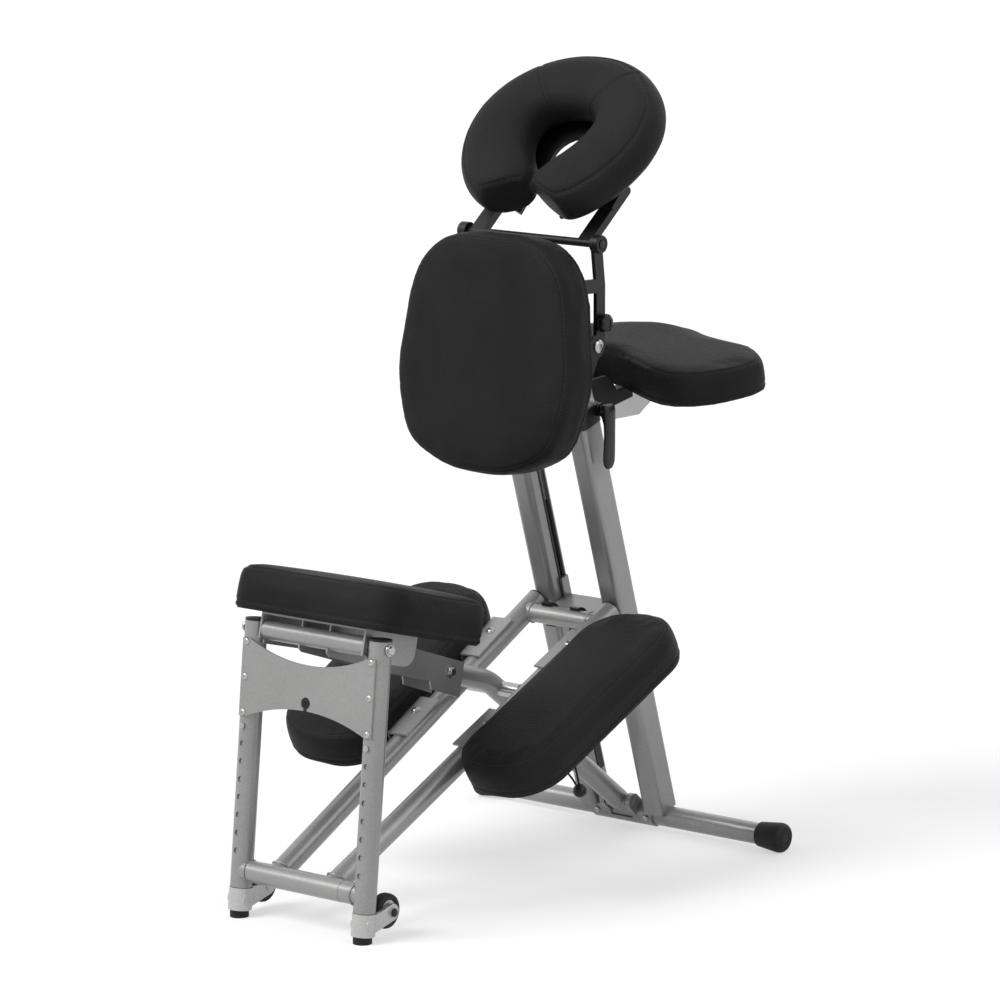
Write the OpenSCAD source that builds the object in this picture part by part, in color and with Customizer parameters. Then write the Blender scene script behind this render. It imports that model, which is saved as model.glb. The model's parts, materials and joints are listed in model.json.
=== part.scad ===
// Folding massage chair. Millimetres, +X to the sitter's left, +Y the way the sitter faces, +Z up.
// The floor is Z = 0 and the origin is below the middle of the chair's bounding box.

/* [Stance] */
// Distance from the rear feet to the base tube
stance = 760; // [700:5:820]
// Height of the base tube's axis
base_rise = 22.4; // [20:0.2:26]
// Backward lean of the uprights, in degrees
upright_lean = 17.5; // [15:0.5:20]
// Forward lean of the rear posts, in degrees
post_lean = 5.8; // [4:0.2:8]
// Downward tilt of the seat towards the front, in degrees
seat_tilt = 15; // [10:0.5:18]

/* [Tubes] */
// Outer diameter of the round frame tubes
tube_d = 31.8; // [28:0.2:35]
// Wall of the frame tubes
tube_wall = 1.8; // [1.2:0.1:2.5]
// Diameter of the cross tubes
cross_d = 28; // [24:0.5:30]

/* [Base] */
// Half the length of the base tube
base_half = 270; // [240:2:300]
// Reach of a rubber end cap past the end of the base tube
cap_reach = 20; // [16:1:30]
// Length of tube that an end cap covers
cap_grip = 26; // [20:1:60]
// Thickness of an end cap's rubber round the tube
cap_wall = 2.6; // [2:0.1:4]

/* [Uprights] */
// Distance from the middle plane to the axis of an upright
upright_x = 61.6; // [58:0.2:66]
// Width of an upright's profile
upright_w = 35; // [30:0.5:38]
// Depth of an upright's profile
upright_d = 46; // [40:0.5:50]
// Length of an upright
upright_len = 662; // [600:2:700]
// Corner radius of an upright's profile
upright_r = 9; // [6:0.5:12]

/* [Mast] */
// Height of the tilt axis along the uprights
tilt_up = 784.4; // [760:1:810]
// Length of mast post that stays in the upright
mast_grip = 150; // [120:2:180]
// Height adjustment of the mast
mast_travel = 70; // [40:5:90]

/* [Rear posts] */
// Distance from the middle plane to the axis of a rear post
post_x = 113; // [110:0.5:120]
// Length along a rear post from the floor line to its top
post_top = 421; // [415:1:450]
// Height of the post tube's lower end
post_low = 43; // [42.5:0.5:48]
// Height of the lower crossbar's axis along the post
sleeve_up = 66.4; // [60:0.2:72]
// Height of the seat pivot along the post
seat_pivot_up = 410; // [400:1:412]
// Height of the lowest adjustment hole
hole_low = 95; // [90:1:100]
// Pitch of the adjustment holes
hole_pitch = 25.4; // [20:0.1:28]
// Diameter of the adjustment holes
hole_d = 8.6; // [7:0.1:10]

/* [Legs] */
// Diameter of a wheel
wheel_d = 50; // [44:1:54]
// Width of a wheel
wheel_w = 18; // [14:1:20]
// Distance of the wheel axle in front of the leg
wheel_reach = 48; // [44:1:54]
// Height of the wheel axle
wheel_rise = 36; // [32:1:40]

/* [Knee frame] */
// Height of the carriage pivot along the uprights
carriage_up = 358.5; // [350:0.5:366]
// Distance of the carriage pivot behind the uprights' axes
carriage_back = 61; // [60:0.5:66]
// Half the distance between the knee tubes at the lower sleeve
knee_low_x = 50; // [46:0.5:54]
// Half the distance between the knee tubes at their upper ends
knee_top_x = 69.4; // [66:0.2:74]
// Distance of the scissor pivot along the knee frame
scissor_along = 474.4; // [465:0.2:480]
// Drop of the scissor pivot below the knee frame's line
scissor_drop = 2.4; // [0:0.2:4]

/* [Knee pads] */
// Distance from the middle plane to the middle of a knee pad
knee_pad_x = 170.5; // [166:0.5:176]
// Width of a knee pad
knee_pad_w = 167; // [150:1:172]
// Distance of a knee pad's lower end along the knee frame
knee_pad_along = 250; // [240:1:260]
// Length of a knee pad
knee_pad_len = 387; // [360:1:400]
// Height of the middle of a knee board's underside above the knee frame's line
knee_pad_low = -6.6; // [-9:0.1:-4]
// Thickness of a knee pad without its board
knee_pad_t = 49; // [40:1:54]
// Corner radius of a knee pad
knee_pad_r = 66; // [50:1:70]
// Turn of the knee pads towards each other at their lower ends, in degrees
knee_pad_toe = 2.5; // [1.5:0.1:3]
// Cant of a knee pad, its outer edge raised, in degrees
knee_pad_cant = 5.6; // [4:0.1:6]

/* [Seat arm] */
// Distance of the saddle pivot behind the base tube
saddle_back = 24; // [22:0.5:28]
// Rise of the saddle pivot above the base tube
saddle_rise = 19.6; // [18:0.2:24]
// Distance of the seat arm pivot in front of the seat pivot
arm_pivot_along = 273.1; // [268:0.1:278]
// Drop of the seat arm pivot below the seat pivot
arm_pivot_drop = 19.1; // [18:0.1:22]
// Radius of the bend in the seat arm
arm_bend_r = 100; // [80:5:110]

/* [Seat] */
// Width of the seat pad
seat_w = 296; // [270:2:310]
// Length of the seat pad
seat_len = 228; // [200:2:240]
// Reach of the seat pad behind the seat pivot
seat_back = 33; // [24:1:40]
// Thickness of the seat pad without its board
seat_pad_t = 55; // [44:1:60]
// Corner radius of the seat pad
seat_r = 34; // [28:1:50]
// Outer half width of the seat pan
pan_half = 95; // [92:0.5:95.5]

/* [Chest] */
// Width of the chest pad
chest_w = 316; // [290:2:330]
// Height of the chest pad
chest_h = 341; // [320:1:360]
// Thickness of the chest pad without its board
chest_t = 60; // [50:1:66]
// Distance of the chest pad's face in front of the rear feet
chest_y = 401; // [395:1:410]
// Height of the chest pad's reference line
chest_z = 785; // [775:1:800]
// Lean of the chest pad, in degrees
chest_lean = 6.1; // [4:0.1:8]
// Distance from the middle plane to a chest rail
rail_x = 117; // [115:0.5:122]

/* [Armrest] */
// Width of the armrest pad
arm_w = 500; // [460:2:520]
// Length of the armrest pad
arm_len = 210; // [190:2:220]
// Thickness of the armrest pad without its board
arm_t = 48; // [40:1:56]
// Distance of the armrest's middle in front of the rear feet
arm_y = 759; // [750:1:768]
// Height of the armrest's top plane
arm_z = 745; // [740:1:760]
// Tilt of the armrest, in degrees
arm_tilt = 10; // [8:0.5:12]

/* [Face cradle] */
// Width of the face cushion
face_w = 327; // [310:1:340]
// Length scale of the face cushion
face_len = 290; // [270:2:300]
// Thickness of the face cushion's roll
roll_t = 76; // [66:1:80]
// Slope of the face cushion, in degrees
face_slope = 44; // [40:1:48]
// Height of the face cushion's middle
face_z = 1053; // [1040:1:1060]
// Distance of the face cushion's middle in front of the rear feet
face_y = 592.4; // [585:0.2:600]

/* [Fits] */
// Radial clearance of a pin that turns in its bore
pin_gap = 0.05; // [0.02:0.01:0.1]
// Gap between pieces that move past each other
free_gap = 0.3; // [0.2:0.05:0.5]

/* [Hidden] */
$fn = 48;

// Overrun of every cut past the face it starts from
over = 1;
// Colours as photographed
frame_grey = [0.70, 0.71, 0.73];
bright = [0.80, 0.80, 0.81];
plastic_black = [0.10, 0.10, 0.11];
vinyl_black = [0.06, 0.06, 0.065];
zinc = [0.75, 0.75, 0.74];

// Plane geometry in [y, z]
function turn(v, a) = [v.x * cos(a) - v.y * sin(a), v.x * sin(a) + v.y * cos(a)];
function heading(a) = [cos(a), sin(a)];
function slope(v) = atan2(v.y, v.x);

// The bounding box runs from the rear castings to the armrest's far edge
tube_r = tube_d / 2;
cross_r = cross_d / 2;
casting_r = 17;
board_t = 8;
arm_far_share = 0.4;
arm_front = arm_len * arm_far_share;
front_reach = arm_y + arm_front * cos(arm_tilt) + arm_t * sin(arm_tilt);
rear_y = -(front_reach - tube_r) / 2;

// Pivots in [y, z]
post_foot = [rear_y, 0];
base_axis = [rear_y + stance, base_rise];
p_sleeve = post_foot + turn([0, sleeve_up], -post_lean);
p_seat = post_foot + turn([0, seat_pivot_up], -post_lean);
p_carriage = base_axis + turn([-carriage_back, carriage_up], upright_lean);
knee_slope = slope(p_carriage - p_sleeve);
knee_len = norm(p_carriage - p_sleeve);
p_scissor = p_sleeve + turn([scissor_along, -scissor_drop], knee_slope);
p_saddle = base_axis + [-saddle_back, saddle_rise];
p_arm = p_seat + turn([arm_pivot_along, -arm_pivot_drop], -seat_tilt);

// Seat arm: the bend lies just past the scissor pivot
arm_head = slope(p_scissor - p_saddle);
bend_past = 21.3;
p_bend = p_scissor + heading(arm_head) * bend_past;
arm_head_top = slope(p_arm - p_bend);
bend_angle = arm_head_top - arm_head;
bend_cut = arm_bend_r * tan(bend_angle / 2);
arm_stub = 30;
barrel_r = 11.6;
barrel_half = 18;

// Small hardware
pin_r = 6;
bush_r = 11;
bush_wall_gap = 0.3;
head_r = 10;
head_t = 4;
washer_t = 2;
pivot_head_r = 6.6;
pivot_washer_r = 8.6;
rivet_r = 5;
rivet_t = 2.5;
sheet_t = 3;

// Frames of reference
module base_frame() translate([0, base_axis.x, base_axis.y]) rotate([upright_lean, 0, 0]) children();
module post_frame() translate([0, post_foot.x, 0]) rotate([-post_lean, 0, 0]) children();
module knee_frame() translate([0, p_sleeve.x, p_sleeve.y]) rotate([knee_slope, 0, 0]) children();
module seat_frame() translate([0, p_seat.x, p_seat.y]) rotate([-seat_tilt, 0, 0]) children();
module chest_frame() translate([0, rear_y + chest_y, chest_z]) rotate([-chest_lean, 0, 0]) children();
module armrest_frame() translate([0, rear_y + arm_y, arm_z]) rotate([arm_tilt, 0, 0]) children();
module cradle_frame() translate([0, rear_y + face_y, face_z]) rotate([face_slope, 0, 0]) children();
module at_yz(p) translate([0, p.x, p.y]) children();
module both() {
  children();
  mirror([1, 0, 0]) children();
}

// A cylinder along X from a to b
module x_rod(a, b, r) translate([a, 0, 0]) rotate([0, 90, 0]) cylinder(h = b - a, r = r);
// A cylinder along Y from a to b
module y_rod(a, b, r) translate([0, a, 0]) rotate([-90, 0, 0]) cylinder(h = b - a, r = r);
// A solid rod between two points
module rod(a, b, r) {
  v = b - a;
  translate(a) rotate([0, acos(v.z / norm(v)), atan2(v.y, v.x)]) cylinder(h = norm(v), r = r);
}
// A plate cut from a [y, z] outline, from x = a to x = b
module side_plate(a, b) translate([a, 0, 0]) rotate([90, 0, 90]) linear_extrude(b - a) children();
// A flat bar with round ends, as an outline. Its straight sides lie a hair inside the round ends
bar_step = 0.02;
module bar_outline(a, b, w) {
  translate(a) circle(d = w);
  translate(b) circle(d = w);
  translate(a) rotate(slope(b - a)) translate([0, bar_step - w / 2]) square([norm(b - a), w - 2 * bar_step]);
}
// A rectangle with round corners, centred
module rounded(w, d, r) {
  square([w - 2 * r, d], center = true);
  square([w, d - 2 * r], center = true);
  for (sx = [-1, 1], sy = [-1, 1])
    translate([sx * (w / 2 - r), sy * (d / 2 - r)]) circle(r);
}
// A screw or rivet head on an x face
module x_head(x, r, t) x_rod(x, x + t, r);

// Bow of a pad's short edges
edge_bow = 1.5;
// Soft forms: a closed ring of points, clockwise seen from the top, with point 0 on the fold line
function blend4(p, q, r, s, t) =
  0.5 * (2 * q + (r - p) * t + (2 * p - 5 * q + 4 * r - s) * t * t + (3 * q - p - 3 * r + s) * t * t * t);
function smooth_ring(k, steps) = let(n = len(k))
  [for (i = [0:n - 1], s = [0:steps - 1])
    blend4(k[(i + n - 1) % n], k[i], k[(i + 1) % n], k[(i + 2) % n], s / steps)];
function with_mirror(half) = concat(half, [for (i = [len(half) - 2:-1:1]) [-half[i].x, half[i].y]]);
function round_box_half(w, l, r, steps) = concat(
  [[0, l / 2 + edge_bow]],
  [for (i = [0:steps]) [w / 2 - r, l / 2 - r] + r * heading(90 - 90 * i / steps)],
  [[w / 2, 0]],
  [for (i = [0:steps]) [w / 2 - r, r - l / 2] + r * heading(-90 * i / steps)],
  [[0, -l / 2 - edge_bow]]);
function clamped(v, lo, hi) = [min(max(v.x, lo.x), hi.x), min(max(v.y, lo.y), hi.y)];
function inward(ring, i) = let(n = len(ring), t = ring[(i + 1) % n] - ring[(i + n - 1) % n])
  [t.y, -t.x] / norm(t);
// A level is [draw-in, share of the way to the spine, height]
function pad_levels(t, crown, seam) = [
  [seam, 0, 0],
  [0, 0, seam],
  [0, 0, seam * 3],
  [seam, 0, seam * 3.8],
  [0, 0, seam * 5],
  [0, 0, t * 0.6],
  [0, 0, t - seam * 2.6],
  [seam, 0, t - seam * 0.8],
  [seam * 1.8, 0, t - seam * 0.9],
  [seam * 3, 0, t],
  [seam * 5, 0.3, t + crown * 0.6],
  [seam * 5, 0.75, t + crown]
];
module cushion(ring, lo, hi, levels) {
  n = len(ring);
  half = n / 2;
  spine = [for (i = [0:n - 1]) clamped((ring[i] + ring[(n - i) % n]) / 2, lo, hi)];
  points = [for (v = levels, i = [0:n - 1])
    let(p = ring[i] + inward(ring, i) * v[0], q = p + (spine[i] - p) * v[1]) [q.x, q.y, v[2]]];
  top = (len(levels) - 1) * n;
  strip = concat(
    [[0, 1, n - 1]],
    [for (i = [1:half - 2]) [i, i + 1, n - i]],
    [for (i = [1:half - 2]) [i + 1, n - i - 1, n - i]],
    [[half - 1, half, half + 1]]);
  faces = concat(
    [for (f = strip) [f[2], f[1], f[0]]],
    [for (f = strip) [top + f[0], top + f[1], top + f[2]]],
    [for (k = [0:len(levels) - 2], i = [0:n - 1]) [k * n + i, k * n + (i + 1) % n, (k + 1) * n + (i + 1) % n]],
    [for (k = [0:len(levels) - 2], i = [0:n - 1]) [k * n + i, (k + 1) * n + (i + 1) % n, (k + 1) * n + i]]);
  polyhedron(points, faces);
}
// A skin over equal rings of points, with flat ends
module skin(rings) {
  m = len(rings[0]);
  last = (len(rings) - 1) * m;
  points = [for (r = rings, p = r) p];
  faces = concat(
    [for (j = [1:m - 2]) [0, j + 1, j]],
    [for (j = [1:m - 2]) [last, last + j, last + j + 1]],
    [for (k = [0:len(rings) - 2], j = [0:m - 1]) [k * m + j, k * m + (j + 1) % m, (k + 1) * m + (j + 1) % m]],
    [for (k = [0:len(rings) - 2], j = [0:m - 1]) [k * m + j, (k + 1) * m + (j + 1) % m, (k + 1) * m + j]]);
  polyhedron(points, faces);
}

// Base tube with its rubber ends and the saddle
cap_r = tube_r + cap_wall;
cap_round = 10;
cap_len = cap_grip + cap_reach;
saddle_end = 56;
saddle_ear_in = 20;
saddle_ear_t = 8;
saddle_wall = 2.6;
saddle_rivet_x = 45.5;
rivet_turn = 12;

module base_tube() color(frame_grey) at_yz(base_axis) difference() {
  x_rod(-base_half, base_half, tube_r);
  x_rod(-base_half - over, base_half + over, tube_r - tube_wall);
}
// An end cap flares from the tube to the radius that stands on the floor
module cap_profile() polygon(concat(
  [[0, 0], [cap_r, 0], [base_rise, cap_len - cap_round]],
  [for (a = [15:15:75]) [base_rise - cap_round * (1 - cos(a)), cap_len - cap_round * (1 - sin(a))]],
  [[base_rise - cap_round, cap_len], [0, cap_len]]
));
module base_end_caps() color(plastic_black) at_yz(base_axis) both() difference() {
  translate([base_half - cap_grip, 0, 0]) rotate([0, 90, 0]) rotate_extrude() cap_profile();
  x_rod(0, base_half, tube_r);
}
module base_saddle() color(frame_grey) {
  difference() {
    union() {
      at_yz(base_axis) x_rod(-saddle_end, saddle_end, tube_r + saddle_wall);
      both() side_plate(saddle_ear_in, saddle_ear_in + saddle_ear_t)
        bar_outline(base_axis, p_saddle, 2 * barrel_r + saddle_wall);
    }
    at_yz(base_axis) x_rod(-base_half, base_half, tube_r);
    translate([-base_half, base_axis.x, 0]) cube([2 * base_half, tube_d, 2 * tube_d]);
    translate([-saddle_ear_in, base_axis.x - 2 * tube_d, base_axis.y - tube_r / 2])
      cube([2 * saddle_ear_in, 2 * tube_d, 2 * tube_d]);
    both() at_yz(base_axis) translate([upright_x, 0, 0]) upright_clear();
  }
  both() {
    at_yz(p_saddle) x_rod(saddle_ear_in - free_gap, saddle_ear_in + saddle_ear_t + washer_t, pin_r);
    at_yz(p_saddle) x_head(saddle_ear_in + saddle_ear_t, pivot_head_r, head_t);
    at_yz(base_axis) translate([saddle_rivet_x, 0, 0]) rotate([rivet_turn, 0, 0])
      y_rod(-tube_r - saddle_wall - rivet_t, -tube_r - saddle_wall / 2, rivet_r);
  }
}
// Space round the foot of an upright
module upright_clear() rotate([upright_lean, 0, 0])
  translate([-upright_w / 2 - free_gap, -upright_d, upright_foot])
    cube([upright_w + 2 * free_gap, 2 * upright_d, 2 * upright_d]);

// Uprights: slotted profiles with a strip on each inner face
strip_w = 14;
strip_n = 7;
strip_t = 1.2;
slot_w = 8;
slot_margin = 45;
carriage_travel = 212.8;
slot_low = carriage_up - slot_margin;
slot_high = carriage_up + carriage_travel + slot_margin;
strip_low = 60;
upright_foot = 12;
upright_in = upright_x - upright_w / 2;

module upright_slot(wide) both() translate([upright_in - strip_t - over, strip_n - wide / 2, slot_low])
  cube([strip_t + tube_wall + over * 1.5, wide, slot_high - slot_low]);
module upright() difference() {
  base_frame() difference() {
    translate([upright_x, 0, upright_foot]) linear_extrude(upright_len - upright_foot) difference() {
      rounded(upright_w, upright_d, upright_r);
      rounded(upright_w - 2 * tube_wall, upright_d - 2 * tube_wall, upright_r - tube_wall);
    }
    upright_slot(slot_w);
  }
  at_yz(base_axis) x_rod(-base_half, base_half, tube_r);
}
module upright_left() color(frame_grey) mirror([1, 0, 0]) upright();
module upright_right() color(frame_grey) upright();
module slot_strips() color(plastic_black) base_frame() difference() {
  both() translate([upright_in - strip_t, strip_n - strip_w / 2, strip_low])
    cube([strip_t, strip_w, upright_len - strip_low - collar_grip - free_gap]);
  upright_slot(slot_w);
}

// Collars with the cam bolts
collar_grip = 9;
collar_wall = 1.4;
collar_rise = 18;
lug_half = 2.5;
mast_play = 1;
mast_w = upright_w - 2 * (tube_wall + mast_play);
mast_d = upright_d - 2 * (tube_wall + mast_play);
mast_r = upright_r - tube_wall - mast_play;
cam_x = 95.5;
cam_y = 576;
cam_z = 667;
cam_r = 9;
cam_w = 26;
cam_washer_r = 10;
cam_pin_r = 3;
cam_bolt_r = 5;
hinge_tube_y = 600;
hinge_tube_z = 668;
hinge_tube_r = 10;
p_rest = [rear_y + hinge_tube_y, hinge_tube_z];
p_cam = [rear_y + cam_y, cam_z];

module upright_collars() color(plastic_black) both() difference() {
  union() {
    base_frame() translate([upright_x, 0, upright_len - collar_grip])
      linear_extrude(collar_grip + collar_rise)
        rounded(upright_w + 2 * collar_wall, upright_d + 2 * collar_wall, upright_r + collar_wall);
    side_plate(upright_in - lug_half, upright_in + lug_half)
      bar_outline(p_rest, p_rest - [upright_d / 2, 0], 2 * hinge_tube_r + 2 * lug_half);
    at_yz(p_cam) x_rod(upright_x, cam_x, cam_bolt_r);
    at_yz(p_cam) x_rod(upright_x, cam_x - cam_r - free_gap, cam_washer_r);
    at_yz(p_cam) translate([cam_x, 0, 0]) y_rod(-cam_w / 2, cam_w / 2, cam_pin_r);
  }
  base_frame() translate([upright_x, 0, upright_len - collar_grip - over])
    linear_extrude(collar_grip + over) rounded(upright_w, upright_d, upright_r);
  base_frame() translate([upright_x, 0, upright_len - over])
    linear_extrude(collar_rise + 2 * over)
      rounded(mast_w + 2 * free_gap, mast_d + 2 * free_gap, mast_r + free_gap);
  at_yz(p_rest) x_rod(0, upright_x, hinge_tube_r);
}
module armrest_hinge_tube() color(frame_grey) at_yz(p_rest) difference() {
  x_rod(-upright_in - lug_half, upright_in + lug_half, hinge_tube_r);
  x_rod(-upright_x, upright_x, hinge_tube_r - tube_wall);
}

// Carriage: a plate between the uprights with studs in the slots, and two half shells that cradle the knee crossbar
plate_half = upright_in - strip_t - free_gap;
plate_t = 4;
plate_up = -6;
stud_r = slot_w / 2 - 2 * pin_gap;
stud_s = 24;
bearing_x = 26;
bearing_w = 16;
bearing_wall = 5;

module hinge_plate() color(frame_grey) base_frame() translate([0, 0, carriage_up]) {
  translate([-plate_half, -carriage_back + cross_r + bearing_wall, plate_up])
    cube([2 * plate_half, strip_n + stud_r + carriage_back - cross_r - bearing_wall, plate_t]);
  both() translate([plate_half - plate_t, strip_n - stud_r * 2, -stud_s - stud_r])
    cube([plate_t, stud_r * 4, 2 * (stud_s + stud_r)]);
  both() for (s = [-stud_s, stud_s]) translate([0, strip_n, s])
    x_rod(plate_half - plate_t, upright_in + tube_wall - free_gap, stud_r);
}
module carriage_bearings() color(plastic_black) base_frame() translate([0, 0, carriage_up]) both()
  difference() {
    side_plate(bearing_x - bearing_w / 2, bearing_x + bearing_w / 2) {
      translate([-carriage_back, 0]) intersection() {
        circle(cross_r + bearing_wall);
        translate([0, -cross_r * 2]) square([cross_r * 2, cross_r * 4]);
      }
      translate([-carriage_back, -cross_r - bearing_wall])
        square([carriage_back + strip_n - stud_r, cross_r + bearing_wall + plate_up]);
    }
    translate([0, -carriage_back, 0]) x_rod(0, upright_x, cross_r + pin_gap);
  }

// Knee frame: two splayed tubes between the lower sleeve and the crossbar
knee_end = 30;
cap_t = 3;
sleeve_half = 75;
knee_low_point = [knee_low_x, 0, 0];
knee_top_len = knee_len + knee_end;
knee_top_point = [knee_top_x, knee_top_len, 0];
function knee_x(along) = knee_low_x + (knee_top_x - knee_low_x) * along / knee_top_len;

module knee_core(r) knee_frame() rod(knee_low_point, knee_top_point, r);
module knee_tube() difference() {
  knee_core(tube_r);
  knee_core_long(tube_r - tube_wall);
  at_yz(p_sleeve) x_rod(-sleeve_half, sleeve_half, tube_r + bar_step);
  at_yz(p_scissor) x_rod(0, upright_x * 2, pin_r);
}
// The same core, run past both ends
module knee_core_long(r) knee_frame() {
  v = (knee_top_point - knee_low_point) / norm(knee_top_point - knee_low_point);
  rod(knee_low_point - v * over, knee_top_point + v * over, r);
}
module knee_tube_left() color(frame_grey) mirror([1, 0, 0]) knee_tube();
module knee_tube_right() color(frame_grey) knee_tube();
module knee_tube_caps() color(plastic_black) both() knee_frame() {
  v = (knee_top_point - knee_low_point) / norm(knee_top_point - knee_low_point);
  rod(knee_top_point, knee_top_point + v * cap_t, tube_r);
  rod(knee_top_point - v * cap_t * 4, knee_top_point, tube_r - tube_wall);
}
module knee_crossbar() color(frame_grey) difference() {
  at_yz(p_carriage) x_rod(-knee_top_x, knee_top_x, cross_r);
  both() knee_core_long(tube_r);
  at_yz(p_carriage) x_rod(-knee_top_x, knee_top_x, cross_r - tube_wall);
}
module lower_sleeve() color(frame_grey) at_yz(p_sleeve) difference() {
  x_rod(-sleeve_half, sleeve_half, tube_r);
  x_rod(-sleeve_half - over, sleeve_half + over, tube_r - tube_wall * 1.5);
}

// Knee pad brackets: bent plates over the tubes, down their outer sides and out under the pads
knee_pad_mid = knee_pad_along + knee_pad_len / 2;
bracket_h = tube_r + sheet_t;
bracket_in = -122;
bracket_web = -89.5;
bracket_web_t = 2.5;
bracket_out = 57.5;
bracket_spans = [[-132.5, -44.5], [63.5, 157.5]];
bracket_top_bolts = [[66, 372], [72, 572]];
bracket_pad_bolts = [[29.5, -103.5], [29.5, 116.5]];

module toe_frame() knee_frame() translate([knee_pad_x, knee_pad_mid, 0]) rotate([0, 0, -knee_pad_toe]) children();
module pad_frame() toe_frame() translate([0, 0, knee_pad_low]) rotate([0, -knee_pad_cant, 0]) children();
function pad_under(x) = [x, knee_pad_low + x * tan(knee_pad_cant)];
module bracket_outline() polygon([
  [bracket_in, bracket_h - sheet_t],
  [bracket_web, bracket_h - sheet_t],
  pad_under(bracket_web) - [0, sheet_t],
  pad_under(bracket_out) - [0, sheet_t],
  pad_under(bracket_out),
  pad_under(bracket_web + bracket_web_t),
  [bracket_web + bracket_web_t, bracket_h],
  [bracket_in, bracket_h]]);
module knee_brackets() color(frame_grey) both() difference() {
  toe_frame() for (s = bracket_spans)
    translate([0, s[1], 0]) rotate([90, 0, 0]) linear_extrude(s[1] - s[0]) bracket_outline();
  knee_core_long(tube_r);
}
module knee_frame_bolts() color(zinc) {
  at_yz(p_scissor) x_rod(-knee_x(scissor_along) - tube_r - head_t, knee_x(scissor_along) + tube_r + head_t, pin_r);
  both() at_yz(p_scissor) x_head(knee_x(scissor_along) + tube_r + free_gap, head_r, head_t);
  both() knee_frame() for (b = bracket_top_bolts)
    translate([b.x, b.y, bracket_h]) cylinder(h = rivet_t, r = rivet_r);
  both() pad_frame() for (b = bracket_pad_bolts)
    translate([b.x, b.y, -sheet_t - rivet_t]) cylinder(h = rivet_t, r = rivet_r);
}

// Knee pads
seam = 2.5;
crown_h = 4;
board_inset = 3;
knee_ring = with_mirror(round_box_half(knee_pad_w, knee_pad_len, knee_pad_r, 6));

module knee_boards() color(plastic_black) both() pad_frame() linear_extrude(board_t)
  rounded(knee_pad_w - 2 * board_inset, knee_pad_len - 2 * board_inset, knee_pad_r - board_inset);
module knee_pad() pad_frame() translate([0, 0, board_t])
  cushion(knee_ring, [0, -knee_pad_len / 4], [0, knee_pad_len / 4], pad_levels(knee_pad_t, crown_h / 2, seam));
module knee_pad_left() color(vinyl_black) mirror([1, 0, 0]) knee_pad();
module knee_pad_right() color(vinyl_black) knee_pad();

// Seat arm: a bent tube from the saddle barrel to the seat channel
bend_centre = p_bend - heading(arm_head) * bend_cut + arm_bend_r * heading(arm_head + 90);
bend_start = p_bend - heading(arm_head) * bend_cut;
bend_end = p_bend + heading(arm_head_top) * bend_cut;
arm_tip = p_arm + heading(arm_head_top) * arm_stub;
// The straight lengths run this far into the bend, and are this much thinner, so that all is one piece
weld_lap = 1;
weld_step = 0.1;
// The tube starts this far past the saddle pivot
arm_foot = 2;

module arm_core(r, past) {
  lap_start = bend_start + heading(arm_head) * weld_lap;
  lap_end = bend_end - heading(arm_head_top) * weld_lap;
  foot = p_saddle + heading(arm_head) * arm_foot;
  rod([0, foot.x, foot.y], [0, lap_start.x, lap_start.y], r - weld_step);
  rod([0, lap_end.x, lap_end.y],
    [0, arm_tip.x + past * cos(arm_head_top), arm_tip.y + past * sin(arm_head_top)], r - weld_step);
  at_yz(bend_centre) rotate([90, 0, 90]) rotate(arm_head - 90) rotate_extrude(angle = bend_angle)
    translate([arm_bend_r, 0]) circle(r);
}
module seat_arm_tube() color(frame_grey) difference() {
  union() {
    arm_core(tube_r, 0);
    at_yz(p_saddle) x_rod(-barrel_half, barrel_half, barrel_r);
  }
  difference() {
    arm_core(tube_r - tube_wall, over);
    at_yz(p_saddle) x_rod(-tube_d, tube_d, barrel_r);
  }
  at_yz(p_saddle) x_rod(-tube_d, tube_d, pin_r + pin_gap);
  at_yz(p_scissor) x_rod(-tube_d, tube_d, bush_r);
  at_yz(p_arm) x_rod(-tube_d, tube_d, bush_r);
  at_yz(base_axis) x_rod(-tube_d, tube_d, tube_r + saddle_wall + free_gap);
}
// Bushes: one through the arm at the scissor pivot, one at the seat pivot
channel_in = 23.7;
module bush(half) difference() {
  x_rod(-half, half, bush_r);
  x_rod(-half - over, half + over, pin_r + pin_gap);
}
module pivot_bushes() color(plastic_black) {
  at_yz(p_scissor) bush(knee_x(scissor_along) - tube_r - bush_wall_gap * 2);
  at_yz(p_arm) bush(channel_in - bush_wall_gap);
}

// Elastic loop with its ball: it runs round the seat arm and both ends enter the ball
cord_r = 1.6;
ball_r = 10.5;
ball_at = [24, 190, 84];
cord_route = [
  [24, 187.5, 93], [23.5, 186, 102], [22.5, 184, 112], [21.5, 181.5, 122], [20.5, 179, 132], [19.5, 177, 141],
  [18.5, 175.5, 151], [16, 180.5, 157.5], [9.5, 185, 163], [0, 186.5, 165], [-9.5, 185, 163], [-16, 180.5, 157.5],
  [-18.5, 175.5, 151], [-17, 170.5, 144], [-11.5, 166.5, 138.5], [-4, 164, 136], [3, 167, 127], [8, 172, 119],
  [12, 177.5, 110.5], [15.5, 183, 102], [19, 188, 91.5]
];
cord_sides = 8;
arm_axis = [0, cos(arm_head), sin(arm_head)];
function unit(v) = v / norm(v);
function cord_ring(route, i) = let(
  n = len(route),
  t = unit(route[min(i + 1, n - 1)] - route[max(i - 1, 0)]),
  a = unit(cross(t, arm_axis)),
  b = cross(t, a))
  [for (j = [0:cord_sides - 1]) route[i] + cord_r * (a * cos(j * 360 / cord_sides) + b * sin(j * 360 / cord_sides))];
module elastic_cord() color(plastic_black) skin([for (i = [0:len(cord_route) - 1]) cord_ring(cord_route, i)]);
module cord_ball() color(plastic_black) translate(ball_at) sphere(ball_r);

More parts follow.
